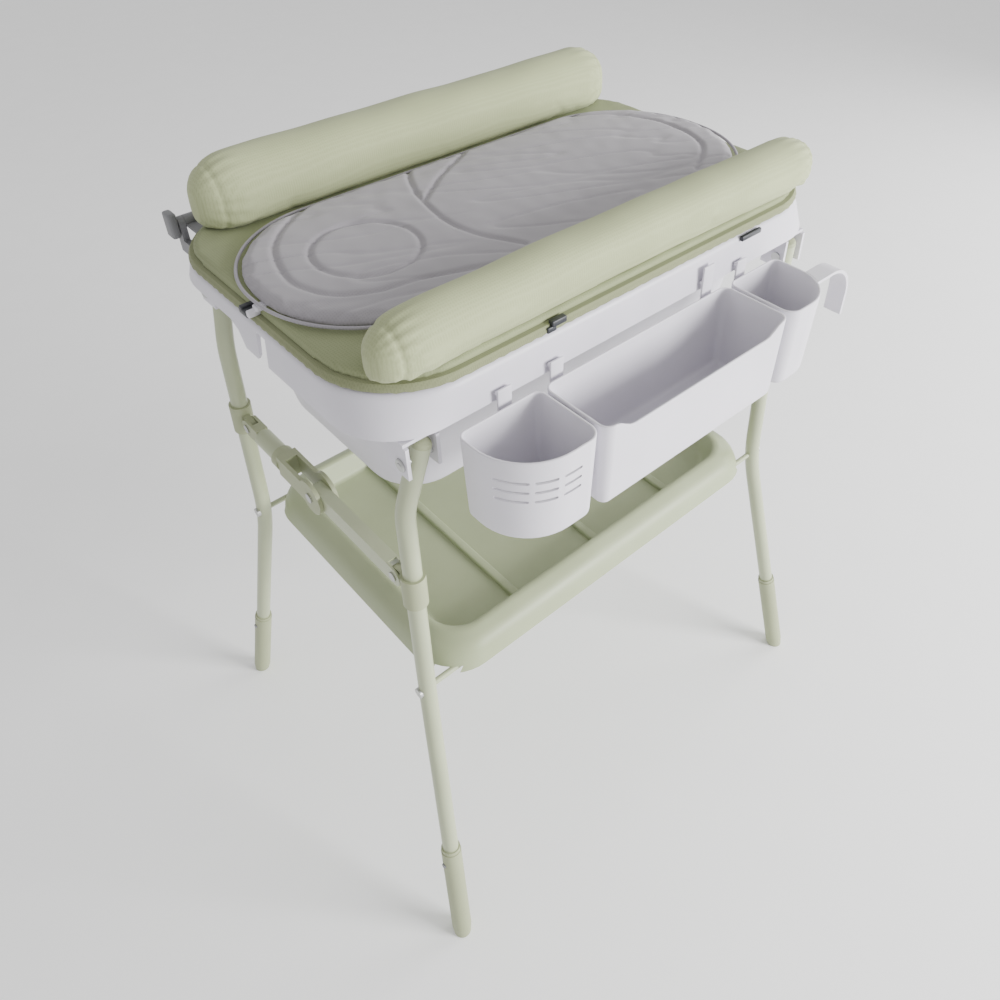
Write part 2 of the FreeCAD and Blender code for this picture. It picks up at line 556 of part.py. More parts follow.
# ------------------------------------------------------------------ lower tray
def lower_tray():
    """A thin moulded tray whose wide sloping flange sits over the two cross rods."""
    top = "(tray_bottom + tray_height)"
    outside = rounded_loft("tray_outside", (
        ("tray_x", "tray_y", "tray_corner", "tray_bottom"),
        ("tray_x - tray_slope / 3", "tray_y - tray_slope / 3", "tray_corner", "tray_bottom + tray_height * 0.7"),
        ("tray_x - tray_slope", "tray_y - tray_slope", "tray_corner - tray_slope / 2", top)))
    inner_x = "(tray_x - tray_slope - tray_ridge)"
    inner_y = "(tray_y - tray_slope - tray_ridge)"
    inner_corner = "(tray_corner - tray_slope / 2 - tray_ridge / 2)"
    floor_levels = (
        (f"{inner_x} - tray_draft", f"{inner_y} - tray_draft", f"{inner_corner} - 4", "tray_floor"),
        (inner_x, inner_y, inner_corner, f"{top} + 1"))
    basin = rounded_loft("tray_basin", floor_levels)
    basin_skin = rounded_loft("tray_basin_skin", (
        (f"{inner_x} - tray_draft + tray_wall", f"{inner_y} - tray_draft + tray_wall", inner_corner,
         "tray_bottom - 1"),
        (f"{inner_x} + tray_wall", f"{inner_y} + tray_wall", f"{inner_corner} + tray_wall", top)))
    under = rounded_loft("tray_under", (
        ("tray_x - tray_wall", "tray_y - tray_wall", "tray_corner - tray_wall", "tray_bottom - 1"),
        ("tray_x - tray_slope / 3 - tray_wall", "tray_y - tray_slope / 3 - tray_wall",
         "tray_corner - tray_wall", "tray_bottom + tray_height * 0.7 - tray_wall"),
        ("tray_x - tray_slope - tray_wall", "tray_y - tray_slope - tray_wall",
         "tray_corner - tray_slope / 2 - tray_wall", f"{top} - tray_wall")))
    hollow = cut("tray_hollow", under, basin_skin)
    rod_y = on_upper_run("rod_z", "knee_y", "shoulder_y")
    notches = []
    for side_y in (-1, 1):
        notches.append(box(f"tray_notch_{'f' if side_y < 0 else 'b'}", ("-tray_x - 5", "tray_x + 5"),
                           (f"{rod_y} - 22", f"{rod_y} + 8"),
                           ("tray_bottom - 5", "rod_z + rod_radius + 0.3"), 1, side_y))
    ribs = []
    for count, place_x in enumerate(("-rib_place", "0", "rib_place")):
        ribs.append(box(f"tray_rib_{count}", (f"{place_x} - rib_width / 2", f"{place_x} + rib_width / 2"),
                        (f"-({inner_y} - tray_draft - 1)", f"{inner_y} - tray_draft - 1"),
                        ("tray_floor - 1", "tray_floor + rib_height")))
    shell = cut("tray_shell", outside, basin, hollow, *notches)
    keep("lower_tray", fuse("tray_whole", shell, *ribs))


lower_tray()


# ------------------------------------------------------------------ bath
def bath():
    """The bath with its skirted rim, whose skirt is cut back at both ends beside the back legs."""
    outside = rounded_loft("bath_rim", (
        ("skirt_x", "skirt_y", "skirt_corner", "skirt_z"),
        ("rim_x + rim_round / 2", "rim_y + rim_round / 2", "rim_corner", "rim_z - rim_round"),
        ("rim_x - rim_round / 2", "rim_y - rim_round / 2", "rim_corner - rim_round / 2", "rim_z")))
    body = rounded_loft("bath_body", (
        ("base_x + bath_wall - base_ease", "base_y + bath_wall - base_ease", "base_corner - base_ease / 2",
         "bath_floor - bath_wall"),
        ("base_x + bath_wall", "base_y + bath_wall", "base_corner", "bath_floor - bath_wall + base_ease"),
        ("mouth_x + bath_wall", "mouth_y + bath_wall", "mouth_corner + bath_wall", "rim_z")))
    under = rounded_loft("bath_under", (
        ("skirt_x - bath_wall", "skirt_y - bath_wall", "skirt_corner - bath_wall", "skirt_z - 1"),
        ("rim_x + rim_round / 2 - bath_wall", "rim_y + rim_round / 2 - bath_wall", "rim_corner - bath_wall",
         "rim_z - rim_round - bath_wall")))
    hollow = cut("bath_hollow", under, body)
    cavity = rounded_loft("bath_cavity", (
        ("base_x - base_ease", "base_y - base_ease", "base_corner - base_ease / 2", "bath_floor"),
        ("base_x", "base_y", "base_corner", "bath_floor + base_ease"),
        ("mouth_x", "mouth_y", "mouth_corner", "rim_z + 1")))
    whole = fuse("bath_whole", outside, body)
    drain = cylinder("bath_drain_hole", "z", "drain_radius", "30", z="bath_floor - 15")
    shell = cut("bath_shell", whole, hollow, cavity, drain,
                *(skirt_gap(side, side_x, body) for side, side_x in (("left", -1), ("right", 1))))
    keep("bath_shell", shell)


def skirt_gap(side, side_x, body):
    """What is cut from the skirt at one end: a notch, a fin, and a shallow run to the back corner."""
    gap = padded_body(f"skirt_gap_{side}", (
        ("notch_front", "skirt_z - 5"), ("notch_front", "notch_top"), ("notch_back", "notch_top"),
        ("notch_back", "fin_low + 20"), ("fin_tip", "fin_low"), ("fin_back", "skirt_back_z"),
        ("skirt_y + 5", "skirt_back_z"), ("skirt_y + 5", "skirt_z - 20")), "skirt_corner + 10")
    place(gap, f"{side_x} * (skirt_x - skirt_corner / 2)")
    return cut(f"skirt_gap_clear_{side}", gap, body)


bath()


def drain():
    """A drain fitting through the bath floor, with a pull plug seated in it."""
    outlet = revolved_body("drain_fitting", (
        ("spigot_radius - spigot_wall", "bath_floor - bath_wall - spigot_length"),
        ("spigot_radius", "bath_floor - bath_wall - spigot_length"),
        ("spigot_radius", "bath_floor - bath_wall - 8"),
        ("flange_radius", "bath_floor - bath_wall - 5"),
        ("flange_radius", "bath_floor - bath_wall"),
        ("drain_radius", "bath_floor - bath_wall"),
        ("drain_radius", "bath_floor"),
        ("drain_bore", "bath_floor"),
        ("drain_bore", "bath_floor - bath_wall"),
        ("spigot_radius - spigot_wall", "bath_floor - bath_wall - 4")))
    keep("drain_outlet", outlet)
    plug = revolved_body("plug", (
        ("0", "bath_floor - bath_wall + 0.5"),
        ("drain_bore - 1", "bath_floor - bath_wall + 0.5"),
        ("drain_bore - 0.3", "bath_floor + 0.3"),
        ("drain_radius + 4", "bath_floor + 0.3"),
        ("drain_radius + 4", "bath_floor + 3"),
        ("4", "bath_floor + 4"),
        ("4", "bath_floor + plug_height + 6"),
        ("0", "bath_floor + plug_height + 8")))
    keep("drain_plug", plug)


drain()


# ------------------------------------------------------------------ leg brackets
def leg_bracket(corner, side_x, side_y):
    """Two cheeks either side of a leg's top, under a deck whose neck joins the rim's underside."""
    inner = f"({PIVOT_X} - tube_radius - bracket_gap)"
    outer = f"({PIVOT_X} + tube_radius + bracket_gap)"
    back = f"({PIVOT_Y} + tube_radius - bracket_depth)"
    front = f"({PIVOT_Y} + tube_radius)"
    deck = box(f"bracket_deck_{corner}", (f"{inner} - bracket_cheek", f"{outer} + bracket_cheek"),
               (back, f"{front} - 4"), ("bracket_roof", "bracket_roof + bracket_deck"), side_x, side_y)
    cheeks = [box(f"bracket_cheek_{corner}_{count}", span, (back, front), ("bracket_low", "bracket_roof"),
                  side_x, side_y)
              for count, span in enumerate(((f"{inner} - bracket_cheek", inner),
                                            (outer, f"{outer} + bracket_cheek")))]
    neck = box(f"bracket_neck_{corner}", (f"{PIVOT_X} - neck_half - 8", f"{PIVOT_X} + neck_half - 8"),
               (back, f"{back} + 14"), ("bracket_roof", "rim_z - rim_round - bath_wall"), side_x, side_y)
    whole = fuse(f"bracket_whole_{corner}", deck, *cheeks, neck)
    hole = bar_through(f"bracket_hole_{corner}", "x", "pivot_radius", "4 * tube_radius",
                       f"{side_x} * {PIVOT_X}", f"{side_y} * {PIVOT_Y}", PIVOT_Z)
    keep(f"leg_bracket_{corner}", cut(f"leg_bracket_{corner}", whole, hole))
    pin_half = "(tube_radius + bracket_gap + bracket_cheek)"
    pin = bar_through(f"pivot_bar_{corner}", "x", "pivot_radius", pin_half, f"{side_x} * {PIVOT_X}",
                      f"{side_y} * {PIVOT_Y}", PIVOT_Z)
    heads = [cylinder(f"pivot_head_{corner}_{count}", "x", "pivot_radius + 2.5", "2",
                      f"{side_x} * {PIVOT_X} + ({start})", f"{side_y} * {PIVOT_Y}", PIVOT_Z)
             for count, start in enumerate((pin_half, f"-{pin_half} - 2"))]
    return fuse(f"pivot_pin_{corner}", pin, *heads)


pivot_pins = [leg_bracket(corner, *sides) for corner, sides in QUARTERS.items()]
keep("pivot_pins", fuse("pivot_pins", *pivot_pins))


# ------------------------------------------------------------------ changing top
BOARD_LOW = "(rim_z + board_gap)"
BOARD_HIGH = f"({BOARD_LOW} + board_thick)"
PAD_LOW = f"({BOARD_HIGH} + layer_gap)"
PAD_HIGH = f"({PAD_LOW} + pad_thick)"
TOP_LOW = f"({PAD_HIGH} + layer_gap)"


def slab(name, half_x, half_y, radius, low, high, ease):
    """A rounded slab whose upper edge is eased inwards."""
    return rounded_loft(name, (
        (half_x, half_y, radius, low),
        (half_x, half_y, radius, f"{high} - {ease}"),
        (f"{half_x} - {ease}", f"{half_y} - {ease}", f"{radius} - {ease}", high)))


keep("mat_board", slab("board", "board_x", "board_y", "board_corner", BOARD_LOW, BOARD_HIGH, "1"))
keep("base_pad", slab("pad", "pad_x", "pad_y", "pad_corner", PAD_LOW, PAD_HIGH, "5"))
LINER = slab("liner", "liner_x", "liner_y", "liner_corner", TOP_LOW, f"{TOP_LOW} + liner_thick", "5")


def bolster(side, side_y):
    """A stuffed roll that lies along one side of the top, flat where it rests."""
    name = f"bolster_{side}"
    radius, middle_y, middle_z = f"{side}_radius", f"{side_y} * {side}_y", f"{side}_z"
    low, high = f"({side}_left + bolster_end)", "(bolster_right - bolster_end)"
    roll = cylinder(f"{name}_roll", "x", radius, f"{high} - {low}", low, middle_y, middle_z)
    ends = []
    for end_name, end_x in (("l", low), ("r", high)):
        end = doc.addObject("Part::Ellipsoid", f"{name}_end_{end_name}")
        for prop, text in (("Radius1", radius), ("Radius2", "bolster_end"), ("Radius3", radius)):
            bind(end, prop, text)
        end.Angle1, end.Angle2, end.Angle3 = -90, 90, 360
        ends.append(place(end, end_x, middle_y, middle_z))
    whole = fuse(f"{name}_whole", roll, *ends)
    below = box(f"{name}_below", (f"2 * {side}_left", "2 * bolster_right"), ("0", "3 * liner_y"),
                (f"{middle_z} - 3 * {radius}", TOP_LOW), 1, side_y)
    return cut(name, whole, below)


BOLSTERS = {side: bolster(side, side_y) for side, side_y in (("front", -1), ("back", 1))}
for side, roll in BOLSTERS.items():
    keep(f"bolster_{side}", roll)
keep("liner_pad", cut("liner_pad", LINER, *BOLSTERS.values()))


def mat_hinge():
    """Two knuckle hinges along the back of the rim: fixed ears on the bath, leaves on the board."""
    fixed = []
    leaves = []
    for side, side_x in (("left", -1), ("right", 1)):
        for count, offset in enumerate(("-hinge_leaf / 2 - side_gap - hinge_ear", "hinge_leaf / 2 + side_gap")):
            eye = cylinder(f"hinge_ear_{side}_{count}", "x", "hinge_eye", "hinge_ear",
                           f"{side_x} * hinge_x + ({offset})", "hinge_y", "hinge_z")
            low = f"{side_x} * hinge_x + ({offset})"
            arm = box(f"hinge_arm_{side}_{count}", (low, f"{low} + hinge_ear"),
                      ("hinge_y - hinge_eye", "hinge_y + hinge_eye"), ("rim_z - 32", "hinge_z"))
            foot = box(f"hinge_foot_{side}_{count}", (low, f"{low} + hinge_ear"),
                       ("rim_y - 26", "hinge_y"), ("rim_z - 32", "rim_z - 14"))
            fixed.extend((eye, arm, foot))
        eye = bar_through(f"hinge_knuckle_{side}", "x", "hinge_eye", "hinge_leaf / 2",
                          f"{side_x} * hinge_x", "hinge_y", "hinge_z")
        plate = box(f"hinge_plate_{side}",
                    (f"{side_x} * hinge_x - hinge_leaf / 2", f"{side_x} * hinge_x + hinge_leaf / 2"),
                    ("board_y - board_corner / 2", "hinge_y"),
                    (f"{BOARD_LOW} + 1", f"{BOARD_LOW} + 1 + hinge_plate"))
        leaves.extend((eye, plate))
    return fixed, leaves


def finish_hinge():
    fixed, leaves = mat_hinge()
    bores = []
    pins = []
    for side, side_x in (("left", -1), ("right", 1)):
        reach = "(hinge_leaf / 2 + side_gap + hinge_ear)"
        bores.append(bar_through(f"hinge_bore_{side}", "x", "hinge_pin + hinge_fit", reach,
                                 f"{side_x} * hinge_x", "hinge_y", "hinge_z"))
        pins.append(bar_through(f"hinge_pin_{side}", "x", "hinge_pin", reach, f"{side_x} * hinge_x",
                                "hinge_y", "hinge_z"))
    skin = doc.getObject("bath_rim")
    keep("mat_hinge_ears", cut("mat_hinge_ears", fuse("hinge_fixed", *fixed), skin, *bores))
    keep("mat_hinge_leaves", cut("mat_hinge_leaves", fuse("hinge_leaves", *leaves), NODES["mat_board"],
                                 *bores))
    keep("mat_hinge_pins", fuse("hinge_pins", *pins))


finish_hinge()


# ------------------------------------------------------------------ hanging bins
def bin_shell(name, low, high, drop, radii, draft):
    """An open bin with drafted walls; its back hangs in front of the skirt."""
    middle_x = f"(({low}) + ({high})) / 2"
    middle_y = "-(bin_back + bin_front) / 2"
    half_x = f"((({high}) - ({low})) / 2)"
    half_y = "((bin_front - bin_back) / 2)"
    inner_radii = tuple(f"({radius}) - bin_wall" for radius in radii)
    low_radii = tuple(f"({radius}) - {draft} / 2" for radius in radii)
    inner_low_radii = tuple(f"({radius}) - {draft} / 2 - bin_wall" for radius in radii)
    outside = rounded_loft(f"{name}_outside", (
        (f"{half_x} - {draft}", f"{half_y} - {draft}", low_radii, f"bin_top - {drop}"),
        (half_x, half_y, radii, "bin_top")), middle_x, middle_y)
    inside = rounded_loft(f"{name}_inside", (
        (f"{half_x} - {draft} - bin_wall", f"{half_y} - {draft} - bin_wall", inner_low_radii,
         f"bin_top - {drop} + bin_wall"),
        (f"{half_x} - bin_wall", f"{half_y} - bin_wall", inner_radii, "bin_top + 0.01")),
        middle_x, middle_y)
    return outside, inside


STRAP_Y = "(skirt_y + lug_proud + hang_gap)"


def strap(name, middle_x, top="strap_low_top"):
    """A hanging strap: a flat blade up the skirt, a lip that sits on the lug, and a bridge to the bin."""
    blade = box(f"{name}_blade", (f"{middle_x} - strap_half", f"{middle_x} + strap_half"),
                (f"-({STRAP_Y} + strap_thick)", f"-{STRAP_Y}"), ("bin_top - 14", top))
    lip = box(f"{name}_lip", (f"{middle_x} - strap_half", f"{middle_x} + strap_half"),
              (f"-{STRAP_Y}", "-(skirt_y + hang_gap)"), ("lug_high + hang_gap", "lug_high + hang_gap + 4"))
    bridge = box(f"{name}_bridge", (f"{middle_x} - strap_half", f"{middle_x} + strap_half"),
                 ("-(bin_back + bin_wall / 2)", f"-({STRAP_Y} + strap_thick / 2)"),
                 ("bin_top - 14", "bin_top - 6"))
    return [blade, lip, bridge]


def lugs():
    """The hanging lugs that stand out of the front of the skirt."""
    blocks = []
    for name, middle_x in STRAPS.items():
        blocks.append(box(f"lug_{name}", (f"{middle_x} - strap_half + 2", f"{middle_x} + strap_half - 2"),
                          ("-(skirt_y + lug_proud)", "-(skirt_y - 8)"), ("lug_low", "lug_high")))
    skin = doc.getObject("bath_rim")
    keep("bin_lugs", cut("bin_lugs", fuse("bin_lug_blocks", *blocks), skin))


BOX_MIDDLE = "((box_left + box_right) / 2)"
STRAPS = {
    "box_left": f"({BOX_MIDDLE} - box_strap)",
    "box_right": f"({BOX_MIDDLE} + box_strap)",
    "cup_left": "((cup_left_from + cup_left_to) / 2 + 14)",
    "cup_right": "((cup_right_from + cup_right_to) / 2 - 14)",
}
lugs()


def storage_box():
    outside, inside = bin_shell("storage_box", "box_left", "box_right", "box_drop",
                                ("box_corner",) * 4, "box_draft")
    low = "(bin_top - scoop_depth)"
    scoop = padded_body("box_scoop", (
        ("-scoop_half", "bin_top + 5"), ("-scoop_half", "bin_top"),
        ("-scoop_half + scoop_run / 2", "bin_top - scoop_depth / 2"), ("-scoop_half + scoop_run", low),
        ("scoop_half - scoop_run", low), ("scoop_half - scoop_run / 2", "bin_top - scoop_depth / 2"),
        ("scoop_half", "bin_top"), ("scoop_half", "bin_top + 5")), "box_corner", "XZ_Plane")
    place(scoop, BOX_MIDDLE, "-(bin_front - 3)")
    whole = fuse("storage_box_whole", outside, *strap("box_l", STRAPS["box_left"]),
                 *strap("box_r", STRAPS["box_right"], "strap_top"))
    keep("storage_box", cut("storage_box", whole, inside, scoop))


def vent_bars():
    """Three rows of three slots through the round front of the left cup."""
    bars = []
    for row in range(3):
        for column, offset in enumerate(("vent_left", "0", "vent_right")):
            middle = f"(vent_middle + {offset})"
            top = f"(bin_top - vent_drop - {row} * vent_row)"
            bars.append(box(f"vent_{row}_{column}",
                            (f"{middle} - vent_width / 2", f"{middle} + vent_width / 2"),
                            ("-(bin_front + 10)", "-(bin_front + bin_back) / 2"),
                            (f"{top} - vent_height", top)))
    return fuse("vents", *bars)


def cups():
    round_left = ("cup_corner", "cup_corner", "cup_round", "cup_corner * 1.6")
    outside, inside = bin_shell("cup_left", "cup_left_from", "cup_left_to", "cup_drop", round_left,
                                "cup_draft")
    whole = fuse("cup_left_whole", outside, *strap("cup_l", STRAPS["cup_left"]))
    keep("storage_cup_left", cut("storage_cup_left", whole, inside, vent_bars()))
    round_right = ("cup_corner", "cup_corner", "cup_corner * 1.6", "cup_end_round")
    outside, inside = bin_shell("cup_right", "cup_right_from", "cup_right_to", "cup_drop", round_right,
                                "cup_draft")
    whole = fuse("cup_right_whole", outside, *strap("cup_r", STRAPS["cup_right"]))
    keep("storage_cup_right", cut("storage_cup_right", whole, inside))
    return outside


storage_box()


def shower_hook(cup_skin):
    """A curved strap that stands off the right cup's round wall and holds the shower hose."""
    middle_y = "-(bin_back + hook_back)"
    bend_x, bend_z = "(hook_tip - hook_bend)", "(bin_top - hook_bend)"
    half = "(hook_width / 2)"
    span_y = (f"{middle_y} - {half}", f"{middle_y} + {half}")
    shelf = box("hook_shelf", ("cup_right_to - cup_end_round", bend_x), span_y,
                ("bin_top - hook_thick", "bin_top"))
    ring = cut("hook_ring",
               bar_through("hook_ring_skin", "y", "hook_bend", half, bend_x, middle_y, bend_z),
               bar_through("hook_ring_bore", "y", "hook_bend - hook_thick", half, bend_x, middle_y, bend_z),
               box("hook_ring_back", (f"{bend_x} - 2 * hook_bend", bend_x), (span_y[0], span_y[1]),
                   (f"{bend_z} - 2 * hook_bend", "bin_top + 5")),
               box("hook_ring_low", (bend_x, "hook_tip + 5"), span_y,
                   (f"{bend_z} - 2 * hook_bend", bend_z)))
    blade = box("hook_blade", ("hook_tip - hook_thick", "hook_tip"), span_y,
                ("bin_top - hook_drop", bend_z))
    keep("shower_hook", cut("shower_hook", fuse("hook_whole", shelf, ring, blade), cup_skin))


shower_hook(cups())


# ------------------------------------------------------------------ centre, check and write
doc.recompute()


def centre_shift():
    """How far the whole table moves along Y so that its box is centred over the origin."""
    spans = [thing.Shape.optimalBoundingBox(True, False) for thing in NODES.values()]
    return -(min(span.YMin for span in spans) + max(span.YMax for span in spans)) / 2


stand_y = centre_shift()
for thing in NODES.values():
    thing.Placement = FreeCAD.Placement(FreeCAD.Vector(0, stand_y, 0), FreeCAD.Rotation())
doc.recompute()

os.makedirs("parts", exist_ok=True)
faults = [thing.Name for thing in doc.Objects if {"Invalid", "Error"} & set(thing.State)]
for label, thing in NODES.items():
    shape = thing.Shape
    if shape.isNull() or not shape.isValid() or not shape.Solids or shape.Volume <= 0:
        faults.append(label)
if faults:
    raise SystemExit("faulty objects: " + ", ".join(faults))
for label, thing in NODES.items():
    thing.Shape.exportStep(f"parts/{label}.step")
print("moved along Y by", round(stand_y, 4), "mm,", len(NODES), "nodes")
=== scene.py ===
"""Folding changing table: padded top over a bath, on a folding tube stand with tray and bins."""
import json
import logging
import math
from dataclasses import dataclass, field, replace
from enum import Enum

import bmesh
import bpy
from mathutils import Matrix, Vector, noise


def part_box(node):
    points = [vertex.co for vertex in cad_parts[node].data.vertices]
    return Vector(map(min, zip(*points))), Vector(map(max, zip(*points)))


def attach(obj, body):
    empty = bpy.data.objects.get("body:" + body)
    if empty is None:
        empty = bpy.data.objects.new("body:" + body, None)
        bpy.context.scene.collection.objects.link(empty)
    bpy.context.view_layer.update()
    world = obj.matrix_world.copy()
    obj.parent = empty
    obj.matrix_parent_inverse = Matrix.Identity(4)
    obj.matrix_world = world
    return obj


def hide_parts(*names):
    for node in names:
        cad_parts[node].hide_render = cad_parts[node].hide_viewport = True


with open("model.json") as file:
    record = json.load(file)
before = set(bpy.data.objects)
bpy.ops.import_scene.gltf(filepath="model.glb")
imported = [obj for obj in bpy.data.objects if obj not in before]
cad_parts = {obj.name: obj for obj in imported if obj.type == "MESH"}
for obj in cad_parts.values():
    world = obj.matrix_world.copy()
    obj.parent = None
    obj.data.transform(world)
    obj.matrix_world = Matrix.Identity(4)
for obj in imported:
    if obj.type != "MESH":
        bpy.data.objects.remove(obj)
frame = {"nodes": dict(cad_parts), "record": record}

LOG = logging.getLogger("changing_table")
MM = 0.001
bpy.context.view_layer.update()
STAND_Y = (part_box("bath_shell")[0].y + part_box("bath_shell")[1].y) / 2 / MM
RIM_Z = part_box("bath_shell")[1].z / MM
# Past this angle in degrees an edge stays sharp on a moulded piece; cloth stays smooth further.
CREASE = 32.0
CLOTH_CREASE = 60.0


# ------------------------------------------------------------------ finishes
class Surface(Enum):
    """How a surface was made, which decides the pattern it carries."""

    MOULDED = "moulded"
    COATED = "coated"
    BARE = "bare"
    WOVEN = "woven"
    KNITTED = "knitted"


@dataclass(frozen=True)
class Finish:
    """One real material and how its surface was made."""

    name: str
    surface: Surface
    colour: str
    shade: str
    roughness: float
    metallic: float = 0.0
    ior: float = 1.5
    coat: float = 0.0
    sheen: float = 0.0
    grain_mm: float = 1.6
    relief_mm: float = 0.05

    def material(self) -> bpy.types.Material:
        """Return the Blender material, made on first use."""
        made = bpy.data.materials.get(self.name)
        return made if made else build_material(self)


# Polypropylene, injection moulded with a fine spark-eroded grain: satin, faintly mottled.
BATH_SHELL = Finish("polypropylene_moulded_lilac_white", Surface.MOULDED, "#d9d6de", "#d1ced7", 0.42,
                    ior=1.49, grain_mm=2.2, relief_mm=0.03)
BIN_SHELL = Finish("polypropylene_moulded_bin", Surface.MOULDED, "#dad7df", "#d3d0d8", 0.40,
                   ior=1.49, grain_mm=2.0, relief_mm=0.03)
# Polypropylene tray in sage, the same grain but a little glossier where hands wipe it.
TRAY_SHELL = Finish("polypropylene_moulded_sage", Surface.MOULDED, "#a2ab88", "#99a27f", 0.44,
                    ior=1.49, grain_mm=2.4, relief_mm=0.04)
# Glass-filled nylon for sleeves, collars and hubs: matt with a slight tooth.
FRAME_NYLON = Finish("nylon_moulded_sage", Surface.MOULDED, "#a0a684", "#979d7b", 0.50,
                     ior=1.53, grain_mm=1.8, relief_mm=0.05)
GREY_NYLON = Finish("nylon_moulded_grey", Surface.MOULDED, "#7d7d80", "#727275", 0.48, ior=1.53)
DARK_NYLON = Finish("acetal_moulded_charcoal", Surface.MOULDED, "#34363a", "#2b2d31", 0.40, ior=1.48)
PLUG_RUBBER = Finish("silicone_rubber_moulded", Surface.MOULDED, "#a9a9ad", "#9c9ca1", 0.60, ior=1.41)
BOARD_PANEL = Finish("polystyrene_sheet_white", Surface.MOULDED, "#d8d6dc", "#cfccd4", 0.50, ior=1.59)
# Steel tube under sage powder coat: soft gloss with a faint orange peel.
LEG_TUBE = Finish("steel_powder_coated_sage", Surface.COATED, "#aeb595", "#a5ac8c", 0.36,
                  coat=0.12, grain_mm=3.0, relief_mm=0.03)
# Zinc-plated steel rivets and pins: bright but brushed by the tumbling barrel.
RIVET = Finish("steel_zinc_plated", Surface.BARE, "#c3c4c2", "#a9aaa7", 0.34, metallic=1.0)
# Cotton-look polyester canvas with a wipe-clean coat, woven in sage: matt with slub threads.
COVER_CANVAS = Finish("polyester_woven_sage", Surface.WOVEN, "#aab188", "#9ca37a", 0.82,
                      sheen=0.10, grain_mm=1.5, relief_mm=0.10)
# The same sage canvas painted darker for the base cover: painted shade for the pad that lies low between the
# bolsters.
SHADED_PAD_CANVAS = Finish("polyester_woven_sage_painted_shade", Surface.WOVEN, "#8f9671", "#818864", 0.86,
                    sheen=0.06, grain_mm=1.5, relief_mm=0.10)
HEM_TAPE = Finish("polyester_tape_dark_sage", Surface.WOVEN, "#858a68", "#767b5a", 0.85,
                  sheen=0.06, grain_mm=1.2, relief_mm=0.12)
# Brushed polyester jersey in lilac grey, quilted: very matt with a soft nap.
LINER_JERSEY = Finish("polyester_jersey_lilac_grey", Surface.KNITTED, "#9c989d", "#908c91", 0.90,
                      sheen=0.25, grain_mm=1.3, relief_mm=0.09)
LINER_BINDING = Finish("polyester_binding_lilac", Surface.KNITTED, "#a09ca3", "#949097", 0.85,
                       sheen=0.2, grain_mm=1.1, relief_mm=0.08)
FLOOR_PAPER = Finish("paper_backdrop_white", Surface.MOULDED, "#fcfcfc", "#fafafa", 0.90)


def linear(code: str) -> tuple[float, float, float, float]:
    """Turn an sRGB hex code into a linear colour.

    Args:
        code: the colour as #rrggbb.

    Returns:
        Red, green, blue and alpha, each 0 to 1.
    """
    parts = [int(code[place:place + 2], 16) / 255 for place in (1, 3, 5)]
    return tuple(part / 12.92 if part <= 0.04045 else ((part + 0.055) / 1.055) ** 2.4
                 for part in parts) + (1.0,)


def add_node(tree: bpy.types.NodeTree, kind: str, settings: dict | None = None,
             links: dict | None = None) -> bpy.types.Node:
    """Add one node with its settings and its incoming links.

    Args:
        tree: the node tree.
        kind: the node's type name.
        settings: attribute names, or input names or numbers, with their values.
        links: input names or numbers with the sockets that feed them.

    Returns:
        The new node.
    """
    node = tree.nodes.new(kind)
    for key, value in (settings or {}).items():
        if isinstance(key, str) and key not in node.inputs and hasattr(node, key):
            setattr(node, key, value)
        else:
            node.inputs[key].default_value = value
    for key, socket in (links or {}).items():
        tree.links.new(socket, node.inputs[key])
    return node


def thread_height(tree: bpy.types.NodeTree, place: bpy.types.NodeSocket, finish: Finish,
                  slubs: bpy.types.NodeSocket) -> bpy.types.NodeSocket:
    """Make the height of crossing threads, drawn twice as coarse as the real cloth so it shows.

    Args:
        tree: the node tree.
        place: object coordinates.
        finish: the cloth's finish.
        slubs: a noise that makes the threads uneven.

    Returns:
        The socket that holds the height.
    """
    scale = 2 * math.pi / (2 * finish.grain_mm * MM) / 20
    bands = []
    for turn in ((0.0, 0.0, 0.0), (0.0, math.radians(45), math.radians(90))):
        turned = add_node(tree, "ShaderNodeMapping", {"Rotation": turn}, {"Vector": place})
        wave = add_node(tree, "ShaderNodeTexWave",
                        {"wave_type": "BANDS", "bands_direction": "X", "wave_profile": "SIN",
                         "Scale": scale, "Distortion": 1.5, "Detail": 1.0, "Detail Scale": 2.0},
                        {"Vector": turned.outputs["Vector"]})
        bands.append(wave.outputs["Fac"])
    crossed = add_node(tree, "ShaderNodeMath", {"operation": "MAXIMUM"}, {0: bands[0], 1: bands[1]})
    return add_node(tree, "ShaderNodeMath", {"operation": "MULTIPLY"},
                    {0: crossed.outputs[0], 1: slubs}).outputs[0]


